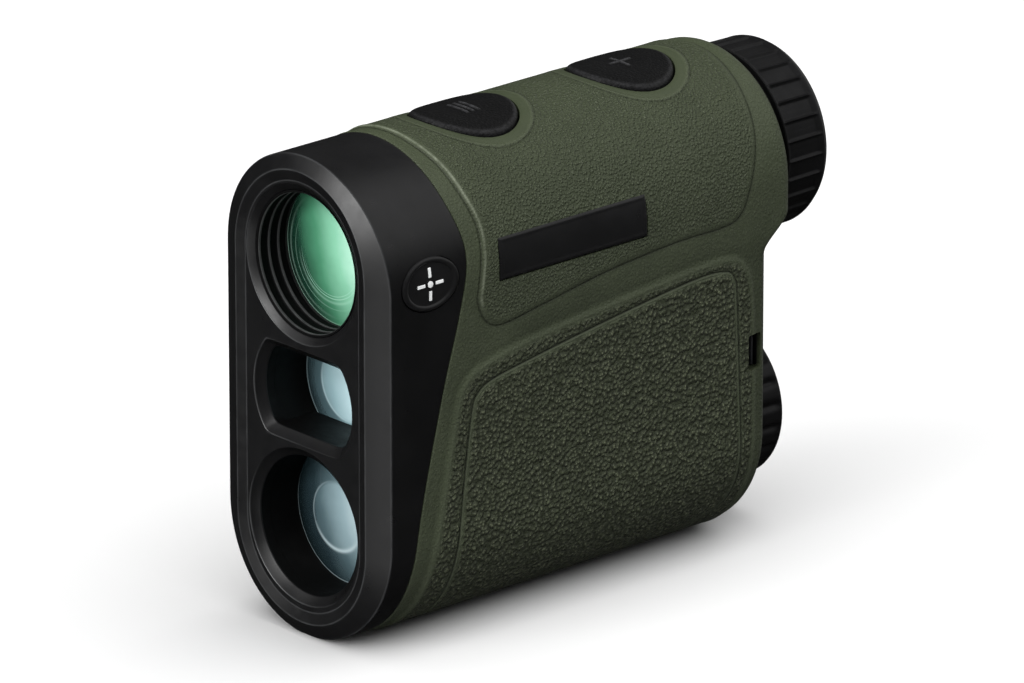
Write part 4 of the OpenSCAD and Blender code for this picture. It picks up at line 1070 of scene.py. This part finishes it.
CARRIED = {
    "chassis": ["chassis_left", "chassis_right", "rear_frame", "prism_holder", "display_frame",
                "button_carrier", "battery_tube", "focus_ring"],
    "sleeve_black": ["objective_retaining_ring"],
    "inner": ["objective_cell", "emitter_cell", "receiver_cell", "receiver_cone",
              "ocular_cell", "ocular_spacer", "lanyard_pin"],
    "steel": ["chassis_screws", "rear_frame_screws", "photodiode", "prism_cover",
              "prism_holder_screws", "front_switch", "rear_switch", "cap_spring"],
    "seal": ["objective_seal_ring", "cap_seal_ring"],
    "objective": ["objective_front_element"],
    "emitter": ["emitter_lens"],
    "receiver": ["receiver_lens"],
    "clear": ["objective_rear_element", "half_penta_prism", "roof_prism", "display_module", "field_lens",
              "eye_lens_front", "eye_lens_rear"],
    "filter": ["receiver_filter"],
    "alloy": ["laser_holder", "ocular_retaining_ring"],
    "gold": ["laser_diode"],
    "board": ["receiver_board", "main_board", "switch_board"],
    "chip": ["board_components"],
    "flex": ["display_flex", "switch_flex"],
    "wire": ["battery_leads"],
    "brass": ["front_contact", "cap_contact"],
    "sleeve": ["battery"],
}
for key, names in CARRIED.items():
    for node in names:
        dress(NODES[node], key)


# ---------- stage ----------

ROOM_LEVEL = 0.015
# Soft bright patches of the room, to be mirrored: azimuth, elevation, half width, level
PATCHES = [(0, 90, 100, 0.08), (14, -20, 22, 1.1), (-8, 16, 30, 2.6), (10, 36, 30, 2.0),
           (-46, 38, 22, 0.7), (140, 42, 45, 0.65), (192, 6, 36, 0.5)]


def direction(azimuth, elevation):
    """From the object outwards; azimuth 0 is the front, and +90 is the side of +X."""
    a, e = math.radians(azimuth), math.radians(elevation)
    return Vector((math.sin(a) * math.cos(e), -math.cos(a) * math.cos(e), math.sin(e)))


def build_stage():
    size = 40
    corners = [(-size, -size, 0), (size, -size, 0), (size, size, 0), (-size, size, 0)]
    mesh = bpy.data.meshes.new("floor")
    mesh.from_pydata(corners, [], [(0, 1, 2, 3)])
    floor = bpy.data.objects.new("floor", mesh)
    floor.location.z = CAD_LOW.z - 0.0002
    bpy.context.scene.collection.objects.link(floor)
    s = Shader("floor_white", Base_Color=(0.72, 0.72, 0.72, 1), Roughness=0.9, Specular_IOR_Level=0.1)
    mesh.materials.append(s.mat)
    floor.visible_glossy = False

    world = bpy.data.worlds.new("studio")
    world.use_nodes = True
    tree = world.node_tree
    new, link = tree.nodes.new, tree.links.new
    back = tree.nodes["Background"]
    back.inputs["Color"].default_value = (1, 1, 1, 1)
    where = new("ShaderNodeTexCoord").outputs["Generated"]
    total = None
    for azimuth, elevation, width, level in PATCHES:
        dot = new("ShaderNodeVectorMath")
        dot.operation = "DOT_PRODUCT"
        link(where, dot.inputs[0])
        dot.inputs[1].default_value = direction(azimuth, elevation)
        soft = new("ShaderNodeMapRange")
        soft.interpolation_type = "SMOOTHSTEP"
        link(dot.outputs["Value"], soft.inputs["Value"])
        soft.inputs["From Min"].default_value = math.cos(math.radians(width))
        soft.inputs["To Max"].default_value = level
        add = new("ShaderNodeMath")
        link(soft.outputs[0], add.inputs[0])
        if total is None:
            add.inputs[1].default_value = ROOM_LEVEL
        else:
            link(total, add.inputs[1])
        total = add.outputs[0]
    link(total, back.inputs["Strength"])
    bpy.context.scene.world = world

    def lamp(name, kind, energy, azimuth, elevation, **values):
        data = bpy.data.lights.new(name, kind)
        data.energy = energy
        for key, v in values.items():
            setattr(data, key, v)
        ob = bpy.data.objects.new(name, data)
        away = direction(azimuth, elevation)
        ob.location = Vector((0, 0, 0.04)) + away * 0.8
        ob.rotation_mode = "QUATERNION"
        ob.rotation_quaternion = away.to_track_quat("Z", "Y")
        bpy.context.scene.collection.objects.link(ob)
        return ob

    # The front light is the only one that is mirrored; the key light doesn't reach the floor
    lamp("top_light", "SUN", 3.5, 122, 74, angle=math.radians(88)).visible_glossy = False
    lamp("front_light", "SUN", 1.0, -8, 18, angle=math.radians(30))
    key = lamp("key_light", "SUN", 1.7, 20, 40, angle=math.radians(16))
    key.visible_glossy = False
    receivers = bpy.data.collections.new("not_the_floor")
    receivers.objects.link(floor)
    receivers.collection_objects[0].light_linking.link_state = "EXCLUDE"
    key.light_linking.receiver_collection = receivers


def build_camera():
    """The photograph's viewing angle: from the front right, a little above."""
    azimuth, elevation, distance = 47.72, 19.886, 1600.5
    back = direction(azimuth, elevation)
    right = Vector((math.cos(math.radians(azimuth)), math.sin(math.radians(azimuth)), 0))
    up = back.cross(right)
    middle = Vector((0, 46 - FRONT, 38))
    aim = middle - 2.753 * right - 2.446 * up
    data = bpy.data.cameras.new("camera")
    data.sensor_width = 36
    data.lens = 374.5
    ob = bpy.data.objects.new("camera", data)
    turn = Matrix((right, up, back)).transposed().to_4x4()
    ob.matrix_world = Matrix.Translation((aim + distance * back) * MM) @ turn
    data.clip_start, data.clip_end = 0.05, 200
    bpy.context.scene.collection.objects.link(ob)
    bpy.context.scene.camera = ob


build_stage()
build_camera()
bpy.context.scene.view_settings.view_transform = "Standard"
bpy.context.scene.view_settings.look = "None"
